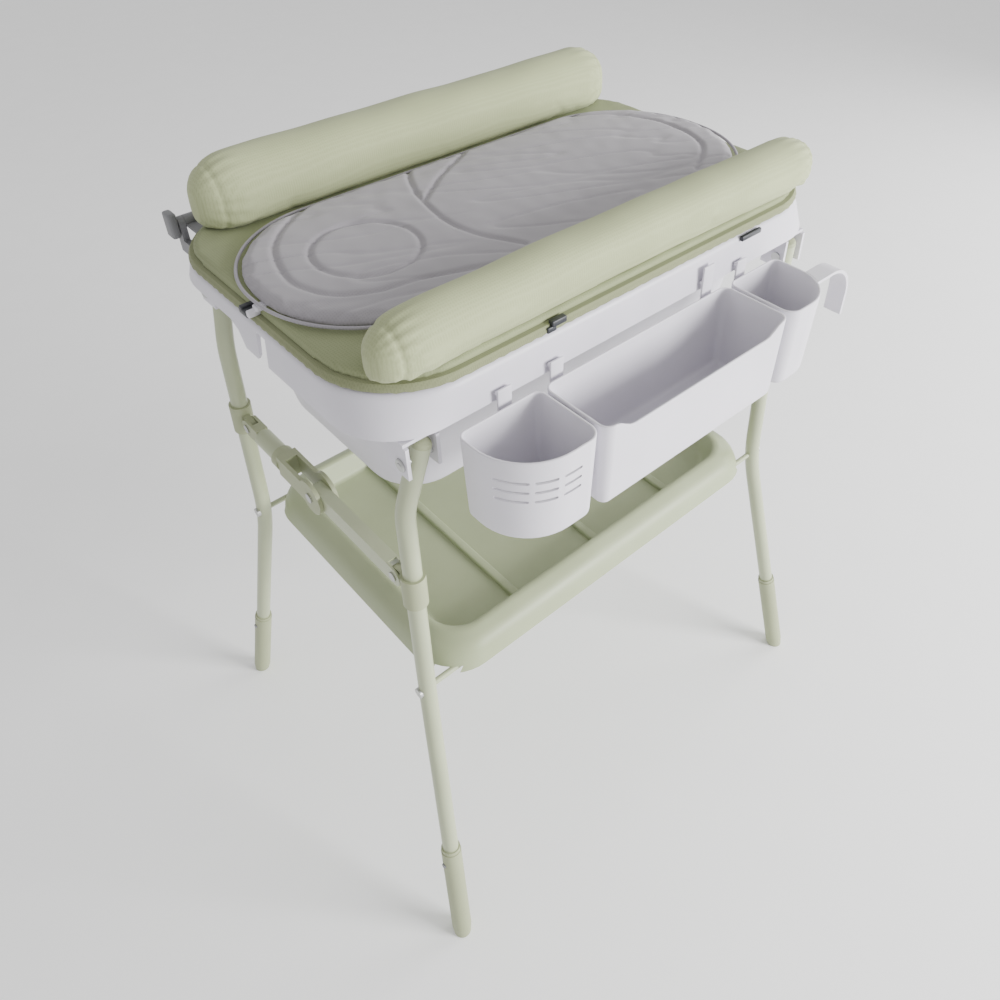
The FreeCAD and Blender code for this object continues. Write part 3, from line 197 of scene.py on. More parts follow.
def build_material(finish: Finish) -> bpy.types.Material:
    """Make a finish's node tree.

    Args:
        finish: the finish.

    Returns:
        The new material.
    """
    material = bpy.data.materials.new(finish.name)
    material.use_nodes = True
    tree = material.node_tree
    tree.nodes.clear()
    place = add_node(tree, "ShaderNodeTexCoord").outputs["Object"]
    grain = add_node(tree, "ShaderNodeTexNoise",
                     {"Scale": 1 / (finish.grain_mm * MM), "Detail": 3.0, "Roughness": 0.6},
                     {"Vector": place}).outputs["Fac"]
    cloud = add_node(tree, "ShaderNodeTexNoise", {"Scale": 9.0, "Detail": 4.0, "Roughness": 0.55},
                     {"Vector": place}).outputs["Fac"]
    # The moulding grain and the coat's orange peel are drawn a few times coarser than life.
    height = grain
    mottle = cloud
    if finish.surface in (Surface.WOVEN, Surface.KNITTED):
        height = thread_height(tree, place, finish, grain)
        mixed = add_node(tree, "ShaderNodeMath", {"operation": "ADD"}, {0: height, 1: cloud})
        mottle = add_node(tree, "ShaderNodeMath", {"operation": "MULTIPLY", 1: 0.6},
                          {0: mixed.outputs[0]}).outputs[0]
    spread = add_node(tree, "ShaderNodeMapRange", {"From Min": 0.3, "From Max": 0.7}, {"Value": mottle})
    tint = add_node(tree, "ShaderNodeMix", {"data_type": "RGBA", 6: linear(finish.shade),
                                            7: linear(finish.colour)}, {0: spread.outputs["Result"]})
    gloss = add_node(tree, "ShaderNodeMapRange",
                     {"From Min": 0.3, "From Max": 0.7, "To Min": max(0.05, finish.roughness - 0.05),
                      "To Max": min(1.0, finish.roughness + 0.06)}, {"Value": cloud})
    bump = add_node(tree, "ShaderNodeBump", {"Strength": 0.6, "Distance": finish.relief_mm * MM},
                    {"Height": height})
    settings = {"Metallic": finish.metallic, "Coat Weight": finish.coat, "Coat Roughness": 0.3,
                "Sheen Weight": finish.sheen, "Sheen Roughness": 0.5}
    if not finish.metallic:
        settings["IOR"] = finish.ior
    shader = add_node(tree, "ShaderNodeBsdfPrincipled", settings,
                      {"Base Color": tint.outputs[2], "Roughness": gloss.outputs["Result"],
                       "Normal": bump.outputs["Normal"]})
    add_node(tree, "ShaderNodeOutputMaterial", {}, {"Surface": shader.outputs["BSDF"]})
    return material


SLOT_FINISH = {
    "frame_tube": LEG_TUBE, "frame_plastic": FRAME_NYLON, "rivet_steel": RIVET, "rod_steel": LEG_TUBE,
    "button_plastic": GREY_NYLON, "tray_plastic": TRAY_SHELL, "bath_plastic": BATH_SHELL,
    "plug_rubber": PLUG_RUBBER, "grey_plastic": GREY_NYLON, "bin_plastic": BIN_SHELL,
    "board_plastic": BOARD_PANEL, "green_fabric": COVER_CANVAS, "liner_fabric": LINER_JERSEY,
}


# ------------------------------------------------------------------ meshes
@dataclass(frozen=True)
class Level:
    """A rounded rectangle at one height, in millimetres.

    radii are the corners front left, front right, back left and back right.
    """

    half_x: float
    half_y: float
    radii: tuple[float, float, float, float]
    z: float
    ease: float = 0.0

    def mix(self, other: "Level", share: float) -> "Level":
        """Return the level a share of the way to another.

        Args:
            other: the level to go towards.
            share: how far to go, 0 to 1.

        Returns:
            The level between.
        """
        def between(first: float, second: float) -> float:
            return first + (second - first) * share
        return Level(between(self.half_x, other.half_x), between(self.half_y, other.half_y),
                     tuple(between(a, b) for a, b in zip(self.radii, other.radii)),
                     between(self.z, other.z))

    def grown(self, grow: float, z: float, ease: float = 0.0) -> "Level":
        """Return the level let out by a distance and moved to another height.

        Args:
            grow: how far to let it out; below zero pulls it in.
            z: the new height.
            ease: how far its profile corner is rounded.

        Returns:
            The new level.
        """
        return Level(self.half_x + grow, self.half_y + grow,
                     tuple(radius + grow for radius in self.radii), z, ease)

    def distance(self, other: "Level") -> float:
        """Return how far the wall runs to another level."""
        return max(0.01, math.hypot(self.half_y - other.half_y, self.z - other.z))


def level(half_x: float, half_y: float, radius: float, z: float, ease: float = 0.0) -> Level:
    """Return a level whose four corners are alike."""
    return Level(half_x, half_y, (radius,) * 4, z, ease)


def eased(levels: list[Level], steps: int = 4) -> list[Level]:
    """Round the profile where levels ask for it.

    Args:
        levels: the levels in order along the wall.
        steps: how many pieces each rounding has.

    Returns:
        The levels with each eased one replaced by a short arc.
    """
    made = [levels[0]]
    for before, here, after in zip(levels, levels[1:], levels[2:]):
        if not here.ease:
            made.append(here)
            continue
        first = here.mix(before, min(0.49, here.ease / here.distance(before)))
        last = here.mix(after, min(0.49, here.ease / here.distance(after)))
        for step in range(steps + 1):
            share = step / steps
            made.append(first.mix(here, share).mix(here.mix(last, share), share))
    made.append(levels[-1])
    return parted(made)


def parted(levels: list[Level], step: float = 0.05) -> list[Level]:
    """Keep neighbouring levels a hair apart in height, so that flat parts bridge the right way.

    Args:
        levels: the levels in order along the wall.
        step: the least height between two of them.

    Returns:
        The levels, moved where they were too close.
    """
    made = [levels[0]]
    for here in levels[1:]:
        near = abs(here.z - made[-1].z) < step
        made.append(replace(here, z=made[-1].z + step) if near else here)
    return made


def loop_at(mesh: bmesh.types.BMesh, shape: Level, arc: int, side: int) -> list[bmesh.types.BMEdge]:
    """Add one rounded rectangle as a closed loop of edges.

    Args:
        mesh: the mesh to add to.
        shape: the level's size.
        arc: pieces in each corner.
        side: extra cuts in each straight side.

    Returns:
        The loop's edges.
    """
    known = set(mesh.faces)
    corners = bmesh.ops.create_grid(mesh, x_segments=1, y_segments=1, size=1.0)["verts"]
    bmesh.ops.scale(mesh, vec=(shape.half_x, shape.half_y, 1.0), verts=corners)
    bmesh.ops.translate(mesh, vec=(0.0, 0.0, shape.z), verts=corners)
    order = sorted(corners, key=lambda vert: (vert.co.y > 0, vert.co.x > 0))
    for corner, radius in zip(order, shape.radii):
        bmesh.ops.bevel(mesh, geom=[corner], offset=max(0.2, radius), offset_type="OFFSET",
                        segments=arc, profile=0.5, affect="VERTICES", material=-1)
    face = [face for face in mesh.faces if face not in known][0]
    straight = [edge for edge in face.edges
                if abs(abs(edge.verts[0].co.x - edge.verts[1].co.x) - edge.calc_length()) < 1e-4
                or abs(abs(edge.verts[0].co.y - edge.verts[1].co.y) - edge.calc_length()) < 1e-4]
    straight = sorted(straight, key=lambda edge: -edge.calc_length())[:4]
    if side:
        bmesh.ops.subdivide_edges(mesh, edges=straight, cuts=side)
    face = [face for face in mesh.faces if face not in known][0]
    edges = list(face.edges)
    bmesh.ops.delete(mesh, geom=[face], context="FACES_ONLY")
    return edges


def shell_of(levels: list[Level], arc: int = 8, side: int = 0,
             closed: bool = False) -> bmesh.types.BMesh:
    """Skin a chain of levels into one closed shell.

    Args:
        levels: the levels in order from the outside bottom to the inside bottom.
        arc: pieces in each corner.
        side: extra cuts in each straight side.
        closed: whether the last loop joins the first, as in a ring, instead of both being filled.

    Returns:
        The new mesh, in millimetres.
    """
    mesh = bmesh.new()
    loops = [loop_at(mesh, shape, arc, side) for shape in levels]
    pairs = list(zip(loops, loops[1:])) + ([(loops[-1], loops[0])] if closed else [])
    for first, second in pairs:
        bmesh.ops.bridge_loops(mesh, edges=first + second)
    if not closed:
        for loop in (loops[0], loops[-1]):
            bmesh.ops.edgeloop_fill(mesh, edges=loop)
    bmesh.ops.recalc_face_normals(mesh, faces=mesh.faces)
    return mesh


def add_block(mesh: bmesh.types.BMesh, low: tuple[float, float, float],
              high: tuple[float, float, float], ease: float = 0.8) -> list[bmesh.types.BMVert]:
    """Add a block with rounded edges between two corners.

    Args:
        mesh: the mesh to add to.
        low: the lowest corner in millimetres.
        high: the highest corner.
        ease: the radius of its edges.

    Returns:
        The block's vertices.
    """
    known = set(mesh.verts)
    size = [far - near for near, far in zip(low, high)]
    middle = [(far + near) / 2 for near, far in zip(low, high)]
    made = bmesh.ops.create_cube(mesh, size=1.0,
                                 matrix=Matrix.Translation(middle) @ Matrix.Diagonal((*size, 1.0)))
    if ease:
        edges = {edge for vert in made["verts"] for edge in vert.link_edges}
        bmesh.ops.bevel(mesh, geom=list(edges), offset=ease, offset_type="OFFSET", segments=3,
                        profile=0.5, affect="EDGES", material=-1)
    return [vert for vert in mesh.verts if vert not in known]


def add_lathe(mesh: bmesh.types.BMesh, outline: list[tuple[float, float]], centre: Vector,
              axis: Vector, steps: int = 32) -> list[bmesh.types.BMVert]:
    """Add a turned shape.

    Args:
        mesh: the mesh to add to.
        outline: (radius, height) pairs from one end of the axis to the other.
        centre: where the outline's zero height lies.
        axis: the direction of its height.
        steps: pieces round the axis.

    Returns:
        The shape's vertices.
    """
    known = set(mesh.verts)
    path = [mesh.verts.new((radius, 0.0, height)) for radius, height in outline]
    edges = [mesh.edges.new(pair) for pair in zip(path, path[1:])]
    bmesh.ops.spin(mesh, geom=path + edges, cent=(0, 0, 0), axis=(0, 0, 1), angle=math.tau,
                   steps=steps, use_merge=True)
    made = [vert for vert in mesh.verts if vert not in known]
    bmesh.ops.remove_doubles(mesh, verts=made, dist=1e-3)
    made = [vert for vert in mesh.verts if vert not in known]
    faces = list({face for vert in made for face in vert.link_faces})
    bmesh.ops.recalc_face_normals(mesh, faces=faces)
    turn = Vector((0, 0, 1)).rotation_difference(axis.normalized()).to_matrix().to_4x4()
    bmesh.ops.transform(mesh, matrix=Matrix.Translation(centre) @ turn, verts=made)
    return made


def finish_piece(mesh: bmesh.types.BMesh, name: str, body: str, finish: Finish,
                 crease: float = CREASE) -> bpy.types.Object:
    """Turn a mesh in millimetres into a finished piece in the row frame.

    Args:
        mesh: the mesh, which is freed.
        name: the piece's name.
        body: the body it rides on.
        finish: its finish.
        crease: the angle past which an edge stays sharp, in degrees.

    Returns:
        The new object.
    """
    bmesh.ops.transform(mesh, matrix=Matrix.Scale(MM, 4) @ Matrix.Translation((0, STAND_Y, 0)),
                        verts=mesh.verts)
    data = bpy.data.meshes.new(name)
    mesh.to_mesh(data)
    mesh.free()
    data.shade_smooth()
    data.set_sharp_from_angle(angle=math.radians(crease))
    thing = bpy.data.objects.new(name, data)
    bpy.context.scene.collection.objects.link(thing)
    data.materials.append(finish.material())
    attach(thing, body)
    LOG.info("%s: %d faces on %s", name, len(data.polygons), body)
    return thing


def carve(thing: bpy.types.Object, cutter: bmesh.types.BMesh) -> None:
    """Cut a tool's shape out of a piece.

    Args:
        thing: the piece.
        cutter: the tool's mesh in millimetres of the stand, which is freed.
    """
    bmesh.ops.transform(cutter, matrix=Matrix.Scale(MM, 4) @ Matrix.Translation((0, STAND_Y, 0)),
                        verts=cutter.verts)
    data = bpy.data.meshes.new("cutter")
    cutter.to_mesh(data)
    cutter.free()
    tool = bpy.data.objects.new("cutter", data)
    bpy.context.scene.collection.objects.link(tool)
    modifier = thing.modifiers.new("cut", "BOOLEAN")
    modifier.operation = "DIFFERENCE"
    modifier.solver = "EXACT"
    modifier.object = tool
    apply_modifiers(thing)
    bpy.data.objects.remove(tool)
    thing.data.shade_smooth()
    thing.data.set_sharp_from_angle(angle=math.radians(CREASE))


def apply_modifiers(thing: bpy.types.Object) -> None:
    """Bake a piece's modifiers into its mesh.

    Args:
        thing: the piece.
    """
    graph = bpy.context.evaluated_depsgraph_get()
    baked = bpy.data.meshes.new_from_object(thing.evaluated_get(graph))
    thing.modifiers.clear()
    thing.data = baked


def smoothstep(low: float, high: float, value: float) -> float:
    """Return 0 below low, 1 above high and a smooth rise between.

    Args:
        low: where the rise begins.
        high: where it ends.
        value: the place asked for.

    Returns:
        The share, 0 to 1.
    """
    share = min(1.0, max(0.0, (value - low) / (high - low)))
    return share * share * (3 - 2 * share)


# ------------------------------------------------------------------ bath
@dataclass
class Bath:
    """The bath with its rim and skirt, in millimetres."""

    skirt: Level = field(default_factory=lambda: level(350.0, 225.0, 78.0, 861.0))
    rim: Level = field(default_factory=lambda: level(345.5, 222.0, 99.0, 903.0))
    mouth: Level = field(default_factory=lambda: level(308.0, 186.0, 84.0, 906.0))
    base: Level = field(default_factory=lambda: level(275.0, 135.0, 58.0, 709.0))
    floor_z: float = 693.0
    wall: float = 3.0
    drain: float = 17.0
    notch: tuple[float, float] = (-26.0, -8.0)
    notch_top: float = 896.0
    back_z: float = 884.0

    def build(self) -> bpy.types.Object:
        """Model the bath and cut its notches and drain.

        Returns:
            The bath.
        """
        wall = self.wall
        under, hem = self.floor_z - wall, self.skirt.z + 0.6
        chain = [
            self.base.grown(wall - 22, under, 0),
            self.base.grown(wall, under + 9, 12),
            self.mouth.grown(wall - 1.5, RIM_Z - 10, 3),
            self.rim.grown(-wall, RIM_Z - 10, 3),
            self.skirt.grown(-wall, hem, 0.8),
            self.skirt.grown(0, hem, 0.8),
            self.rim.grown(0.8, self.rim.z - 1.5, 3.5),
            self.rim.grown(-4, RIM_Z, 2.5),
            self.mouth.grown(3.5, RIM_Z, 3.5),
            self.mouth.grown(-1, RIM_Z - 8, 4),
            self.base.grown(0, self.floor_z + 9, 14),
            self.base.grown(-24, self.floor_z, 0),
        ]
        mesh = shell_of(eased(chain), arc=12, side=5)
        bath = finish_piece(mesh, "bath_tub", "bath", BATH_SHELL)
        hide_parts("bath_shell")
        for side in (-1, 1):
            carve(bath, self.notch_tool(side))
            carve(bath, self.corner_tool(side))
        drain = bmesh.new()
        bmesh.ops.create_cone(drain, cap_ends=True, segments=48, radius1=self.drain, radius2=self.drain,
                              depth=40, matrix=Matrix.Translation((0, 0, self.floor_z)))
        carve(bath, drain)
        return bath

    def notch_tool(self, side: int) -> bmesh.types.BMesh:
        """Make the tool that cuts one end's notch, fin and shallow back run.

        Args:
            side: 1 for the right end, -1 for the left.

        Returns:
            The tool.
        """
        tool = bmesh.new()
        profile = ((self.notch[0], 850), (self.notch[0], self.notch_top), (self.notch[1], self.notch_top),
                   (self.notch[1], 868), (2.0, 853.0), (10.0, 851.0), (20.0, 860.0), (36.0, 878.0),
                   (52.0, self.back_z), (240.0, self.back_z), (240.0, 840.0), (self.notch[0], 840.0))
        verts = [tool.verts.new((side * 316.0, y, z)) for y, z in profile]
        face = tool.faces.new(verts)
        made = bmesh.ops.extrude_face_region(tool, geom=[face])
        moved = [item for item in made["geom"] if isinstance(item, bmesh.types.BMVert)]
        bmesh.ops.translate(tool, vec=(side * 60.0, 0, 0), verts=moved)
        bmesh.ops.recalc_face_normals(tool, faces=tool.faces)
        return tool

    def corner_tool(self, side: int) -> bmesh.types.BMesh:
        """Make the tool that lifts the skirt's edge round one back corner.

        Args:
            side: 1 for the right end, -1 for the left.

        Returns:
            The tool.
        """
        tool = bmesh.new()
        low_x, high_x = sorted((side * 330.0, side * 262.0))
        add_block(tool, (low_x, 196.0, 840.0), (high_x, 240.0, self.back_z), 0)
        return tool

    def details(self) -> None:
        """Add the bracket screws and the hinge caps."""
        mesh = bmesh.new()
        for side_y in (-1, 1):
            for side_x in (-1, 1):
                pivot = Vector((side_x * 318.2, side_y * 209.7, 831.0))
                add_lathe(mesh, [(0, 1.2), (3.2, 1.2), (3.6, 0.4), (6.6, 0.4), (7.4, -0.4), (7.4, -1.8),
                                 (0, -1.8)], pivot, Vector((side_x, 0, 0)), 24)
        finish_piece(mesh, "bracket_screw_caps", "bath", RIVET)
        tabs = bmesh.new()
        for side_x in (-1, 1):
            low_x, high_x = sorted((side_x * 316.2, side_x * 327.0))
            add_block(tabs, (low_x, 231.0, 897.0), (high_x, 250.0, 929.0), 3.2)
        finish_piece(tabs, "hinge_end_caps", "bath", GREY_NYLON)


# ------------------------------------------------------------------ lower tray
@dataclass
class Tray:
    """The lower tray and its sloping flange, in millimetres."""

    half_x: float = 306.0
    half_y: float = 224.0
    bottom: float = 452.0
    top: float = 492.0
    floor_z: float = 460.5
    ribs: tuple[float, ...] = (-150.0, 0.0, 150.0)
    rib_half: float = 6.0
    rib_high: float = 7.0

    def build(self) -> bpy.types.Object:
        """Model the tray without its ribs and rod notches.

        Returns:
            The tray.
        """
        chain = [
            level(252, 170, 36, self.floor_z - 3), level(260, 178, 41, self.floor_z - 3, 3),
            level(271, 189, 46, self.top - 5, 3), level(278, 196, 47, self.top - 5, 3),
            level(294, 212, 58, 479.0, 8),
            level(self.half_x - 3, self.half_y - 3, 59, self.bottom + 0.5, 0.8),
            level(self.half_x, self.half_y, 62, self.bottom + 0.5, 0.8),
            level(298, 216, 61, 481.0, 15), level(276, 194, 47, self.top, 4),
            level(269, 187, 43.5, self.top - 1.0, 3), level(257, 175, 39, self.floor_z, 6),
            level(236, 154, 30, self.floor_z),
        ]
        mesh = shell_of(eased(chain), arc=10, side=3)
        tray = finish_piece(mesh, "tray_moulding", "lower_tray", TRAY_SHELL)
        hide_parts("lower_tray")
        return tray

    def add_ribs(self) -> None:
        """Lay the stiffening ribs across the floor."""
        mesh = bmesh.new()
        for middle in self.ribs:
            add_block(mesh, (middle - self.rib_half, -176.0, self.floor_z - 1),
                      (middle + self.rib_half, 176.0, self.floor_z + self.rib_high), 2.4)
        finish_piece(mesh, "tray_ribs", "lower_tray", TRAY_SHELL)

    def cut_notches(self, tray: bpy.types.Object) -> None:
        """Cut the notches where the cross rods pass.

        Args:
            tray: the tray.
        """
        rod_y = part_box("cross_rod_back")[0].y / MM + 4.0 - STAND_Y
        for side in (-1, 1):
            tool = bmesh.new()
            low_y, high_y = sorted((side * (rod_y - 20.0), side * (rod_y + 8.0)))
            add_block(tool, (-320.0, low_y, 440.0), (320.0, high_y, 461.4), 0)
            carve(tray, tool)


# ------------------------------------------------------------------ bins
@dataclass
class Bin:
    """One hanging bin, in millimetres."""

    name: str
    body: str
    node: str
    left: float
    right: float
    drop: float
    radii: tuple[float, float, float, float]
    draft: float
    straps: tuple[tuple[float, float], ...]
    scoop: float = 0.0
    vents: bool = False
    back: float = 237.0
    front: float = 330.0
    top: float = 860.0
    wall: float = 2.6

    def build(self) -> bpy.types.Object:
        """Model the bin with its straps, scoop and vents.

        Returns:
            The bin.
        """
        half_x, half_y = (self.right - self.left) / 2, (self.front - self.back) / 2
        low = self.top - self.drop

        def at(shrink: float, z: float, ease: float = 0.0) -> Level:
            """Return the bin's outline, pulled in by a distance.

            Args:
                shrink: how far to pull it in.
                z: its height.
                ease: how far its profile corner is rounded.

            Returns:
                The outline.
            """
            return Level(half_x - shrink, half_y - shrink,
                         tuple(max(2.5, radius - shrink) for radius in self.radii), z, ease)

        wall, draft = self.wall, self.draft
        chain = [at(draft + 11, low), at(draft, low, 8), at(0, self.top, 1.2), at(wall, self.top, 1.2),
                 at(draft + wall, low + wall, 6), at(draft + wall + 11, low + wall)]
        steps = eased(chain)
        tall = []
        for first, second in zip(steps, steps[1:]):
            tall.append(first)
            if abs(first.z - second.z) > 50:
                tall.extend(first.mix(second, share) for share in (0.2, 0.4, 0.6, 0.75, 0.85, 0.93))
        tall.append(steps[-1])
        mesh = shell_of(tall, arc=12, side=36 if self.scoop else 12)
        bmesh.ops.translate(mesh, vec=((self.left + self.right) / 2, -(self.back + self.front) / 2, 0),
                            verts=mesh.verts)
        if self.scoop:
            self.dip(mesh)
        for middle, top in self.straps:
            self.add_strap(mesh, middle, top)
        piece = finish_piece(mesh, self.name, self.body, BIN_SHELL)
        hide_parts(self.node)
        if self.vents:
            carve(piece, self.vent_tool())
        return piece

    def dip(self, mesh: bmesh.types.BMesh) -> None:
        """Lower the middle of the front wall's edge in one long curve with soft shoulders.

        Args:
            mesh: the bin's mesh.
        """
        middle, reach = (self.left + self.right) / 2, (self.right - self.left) / 2
        for vert in mesh.verts:
            front = 1.0 if vert.co.y < -(self.front - 8) else 0.0
            across = 1 - smoothstep(reach - 40, reach - 12, abs(vert.co.x - middle))
            lift = smoothstep(self.top - 60, self.top, vert.co.z)
            vert.co.z -= self.scoop * front * across * lift

    def add_strap(self, mesh: bmesh.types.BMesh, middle: float, top: float) -> None:
        """Add one hanging strap with its lip and its bridge to the bin.

        Args:
            mesh: the bin's mesh.
            middle: the strap's place along the table.
            top: the height of its upper end.
        """
        face = 228.5
        add_block(mesh, (middle - 9, -(face + 2.6), self.top - 14), (middle + 9, -face, top), 1.0)
        add_block(mesh, (middle - 9, -(face + 1.0), 870.4), (middle + 9, -225.4, 874.2), 0.5)
        add_block(mesh, (middle - 9, -(self.back + 1.3), self.top - 14),
                  (middle + 9, -(face + 1.3), self.top - 6), 0.8)

    def vent_tool(self) -> bmesh.types.BMesh:
        """Make the tool for three rows of three slots.

        Returns:
            The tool.
        """
        tool = bmesh.new()
        for row in range(3):
            for offset in (-26.0, 0.0, 28.0):
                middle, high = -229.0 + offset, self.top - 25.0 - 12.5 * row
                add_block(tool, (middle - 11, -(self.front + 10), high - 3.4),
                          (middle + 11, -(self.front + self.back) / 2, high), 1.5)
        return tool


# ------------------------------------------------------------------ soft goods
@dataclass
class Puff:
    """How a padded piece is blown up and kept in its place, in millimetres."""

    voxel: float = 5.0
    pressure: float = 4.0
    cap: float = 8.0
    floor_z: float = 924.8
    ceiling_z: float = 1010.0
    frames: int = 20


def puffed(mesh: bmesh.types.BMesh, name: str, puff: Puff) -> bmesh.types.BMesh:
    """Remesh a closed form and blow it up as cloth under pressure.

    Args:
        mesh: the closed form in millimetres, which is freed.
        name: a name for the working object.
        puff: the pressure and limits.

    Returns:
        A new mesh in millimetres.
    """
    bmesh.ops.transform(mesh, matrix=Matrix.Scale(MM, 4), verts=mesh.verts)
    data = bpy.data.meshes.new(name)
    mesh.to_mesh(data)
    mesh.free()
    thing = bpy.data.objects.new(name, data)
    bpy.context.scene.collection.objects.link(thing)
    remesh = thing.modifiers.new("voxels", "REMESH")
    remesh.mode = "VOXEL"
    remesh.voxel_size = puff.voxel * MM
    apply_modifiers(thing)
    rest = [vert.co.copy() for vert in thing.data.vertices]
    cloth = thing.modifiers.new("cloth", "CLOTH")
    cloth.settings.quality = 5
    cloth.settings.use_pressure = True
    cloth.settings.uniform_pressure_force = puff.pressure
    cloth.settings.effector_weights.gravity = 0.0
    cloth.settings.tension_stiffness = 30
    cloth.settings.compression_stiffness = 5
    cloth.settings.bending_stiffness = 0.4
    cloth.collision_settings.use_collision = False
    scene = bpy.context.scene
    for step in range(1, puff.frames + 1):
        scene.frame_set(step)
    apply_modifiers(thing)
    scene.frame_set(1)
    for vert, start in zip(thing.data.vertices, rest):
        moved = vert.co - start
        if moved.length > puff.cap * MM:
            vert.co = start + moved.normalized() * puff.cap * MM
        vert.co.z = min(max(vert.co.z, puff.floor_z * MM), puff.ceiling_z * MM)
    finer = thing.modifiers.new("finer", "SUBSURF")
    finer.levels = finer.render_levels = 1
    apply_modifiers(thing)
    made = bmesh.new()
    made.from_mesh(thing.data)
    bpy.data.objects.remove(thing)
    bmesh.ops.transform(made, matrix=Matrix.Scale(1 / MM, 4), verts=made.verts)
    return made


def seam_distance(x: float, y: float, points: list[tuple[float, float]]) -> float:
    """Return the distance from a place to a stitched line.

    Args:
        x: the place along the table.
        y: the place across it.
        points: the line's points.

    Returns:
        The shortest distance to the line.
    """
    nearest = 1e9
    for (ax, ay), (bx, by) in zip(points, points[1:]):
        dx, dy = bx - ax, by - ay
        share = min(1.0, max(0.0, ((x - ax) * dx + (y - ay) * dy) / (dx * dx + dy * dy)))
        nearest = min(nearest, math.hypot(x - ax - share * dx, y - ay - share * dy))
    return nearest


def through(points: list[tuple[float, float]], steps: int = 8) -> list[tuple[float, float]]:
    """Return a smooth line through a few points.

    Args:
        points: the points.
        steps: pieces between two points.

    Returns:
        The line's points.
    """
    padded = [points[0], *points, points[-1]]
    line = []
    for p0, p1, p2, p3 in zip(padded, padded[1:], padded[2:], padded[3:]):
        for step in range(steps):
            t = step / steps
            line.append(tuple(
                0.5 * (2 * b + (c - a) * t + (2 * a - 5 * b + 4 * c - d) * t * t
                       + (3 * b - a - 3 * c + d) * t ** 3) for a, b, c, d in zip(p0, p1, p2, p3)))
    return line + [points[-1]]


@dataclass
class Bolster:
    """A stuffed roll along one side of the changing top, in millimetres."""

    name: str
    node: str
    left: float
    right: float
    radius: float
    y: float
    z: float
    end: float = 62.0
    rest_z: float = 924.9

    def build(self) -> bpy.types.Object:
        """Blow up the roll, pucker its ends and sew its seams.

        Returns:
            The roll.
        """
        slim = 2.0
        mesh = bmesh.new()
        turn = Matrix.Rotation(math.radians(90), 4, "Y")
        bmesh.ops.create_uvsphere(mesh, u_segments=40, v_segments=24, radius=1.0, matrix=turn)
        for vert in mesh.verts:
            right = vert.co.x > 0
            base = (self.right - slim - self.end) if right else (self.left + slim + self.end)
            blunt = math.copysign(abs(vert.co.x) ** 0.85, vert.co.x)
            squeeze = self.radius - slim
            level_out = math.hypot(vert.co.x, vert.co.y)
            full = 1.0
            if vert.co.z < 0 and level_out > 1e-4:
                full = max(0.0, 1 - vert.co.z ** 4) ** 0.25 / level_out
            vert.co = Vector((base + blunt * full * self.end, self.y + vert.co.y * full * squeeze,
                              self.z + vert.co.z * squeeze))
        cut = bmesh.ops.bisect_plane(mesh, geom=mesh.verts[:] + mesh.edges[:] + mesh.faces[:],
                                     plane_co=(0, 0, self.rest_z), plane_no=(0, 0, -1), clear_outer=True)
        rim = [item for item in cut["geom_cut"] if isinstance(item, bmesh.types.BMEdge)]
        bmesh.ops.edgeloop_fill(mesh, edges=rim)
        bmesh.ops.recalc_face_normals(mesh, faces=mesh.faces)
        top = self.z + self.radius
        made = puffed(mesh, self.name, Puff(voxel=5.0, cap=6.0, floor_z=self.rest_z, ceiling_z=top + 1.5))
        self.pucker(made)
        piece = finish_piece(made, self.name, "changing_top", COVER_CANVAS, CLOTH_CREASE)
        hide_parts(self.node)
        return piece

    def pucker(self, mesh: bmesh.types.BMesh) -> None:
        """Add the soft waves of stuffed cloth, and gathers towards the two end seams.

        Args:
            mesh: the roll's mesh.
        """
        for vert in mesh.verts:
            away = vert.co - Vector((vert.co.x, self.y, self.z))
            if vert.co.z < self.rest_z + 1.0:
                continue
            wave = noise.noise(Vector((vert.co.x / 70, vert.co.y / 45, vert.co.z / 45)))
            from_end = min(vert.co.x - self.left, self.right - vert.co.x)
            angle = math.atan2(away.z, away.y)
            gather = math.sin(angle * 17) * math.exp(-((from_end - 34) / 22) ** 2) * 0.7
            seam = -1.6 * math.exp(-((from_end - 26) / 3.0) ** 2)
            vert.co += away.normalized() * (1.4 * wave + gather + seam)


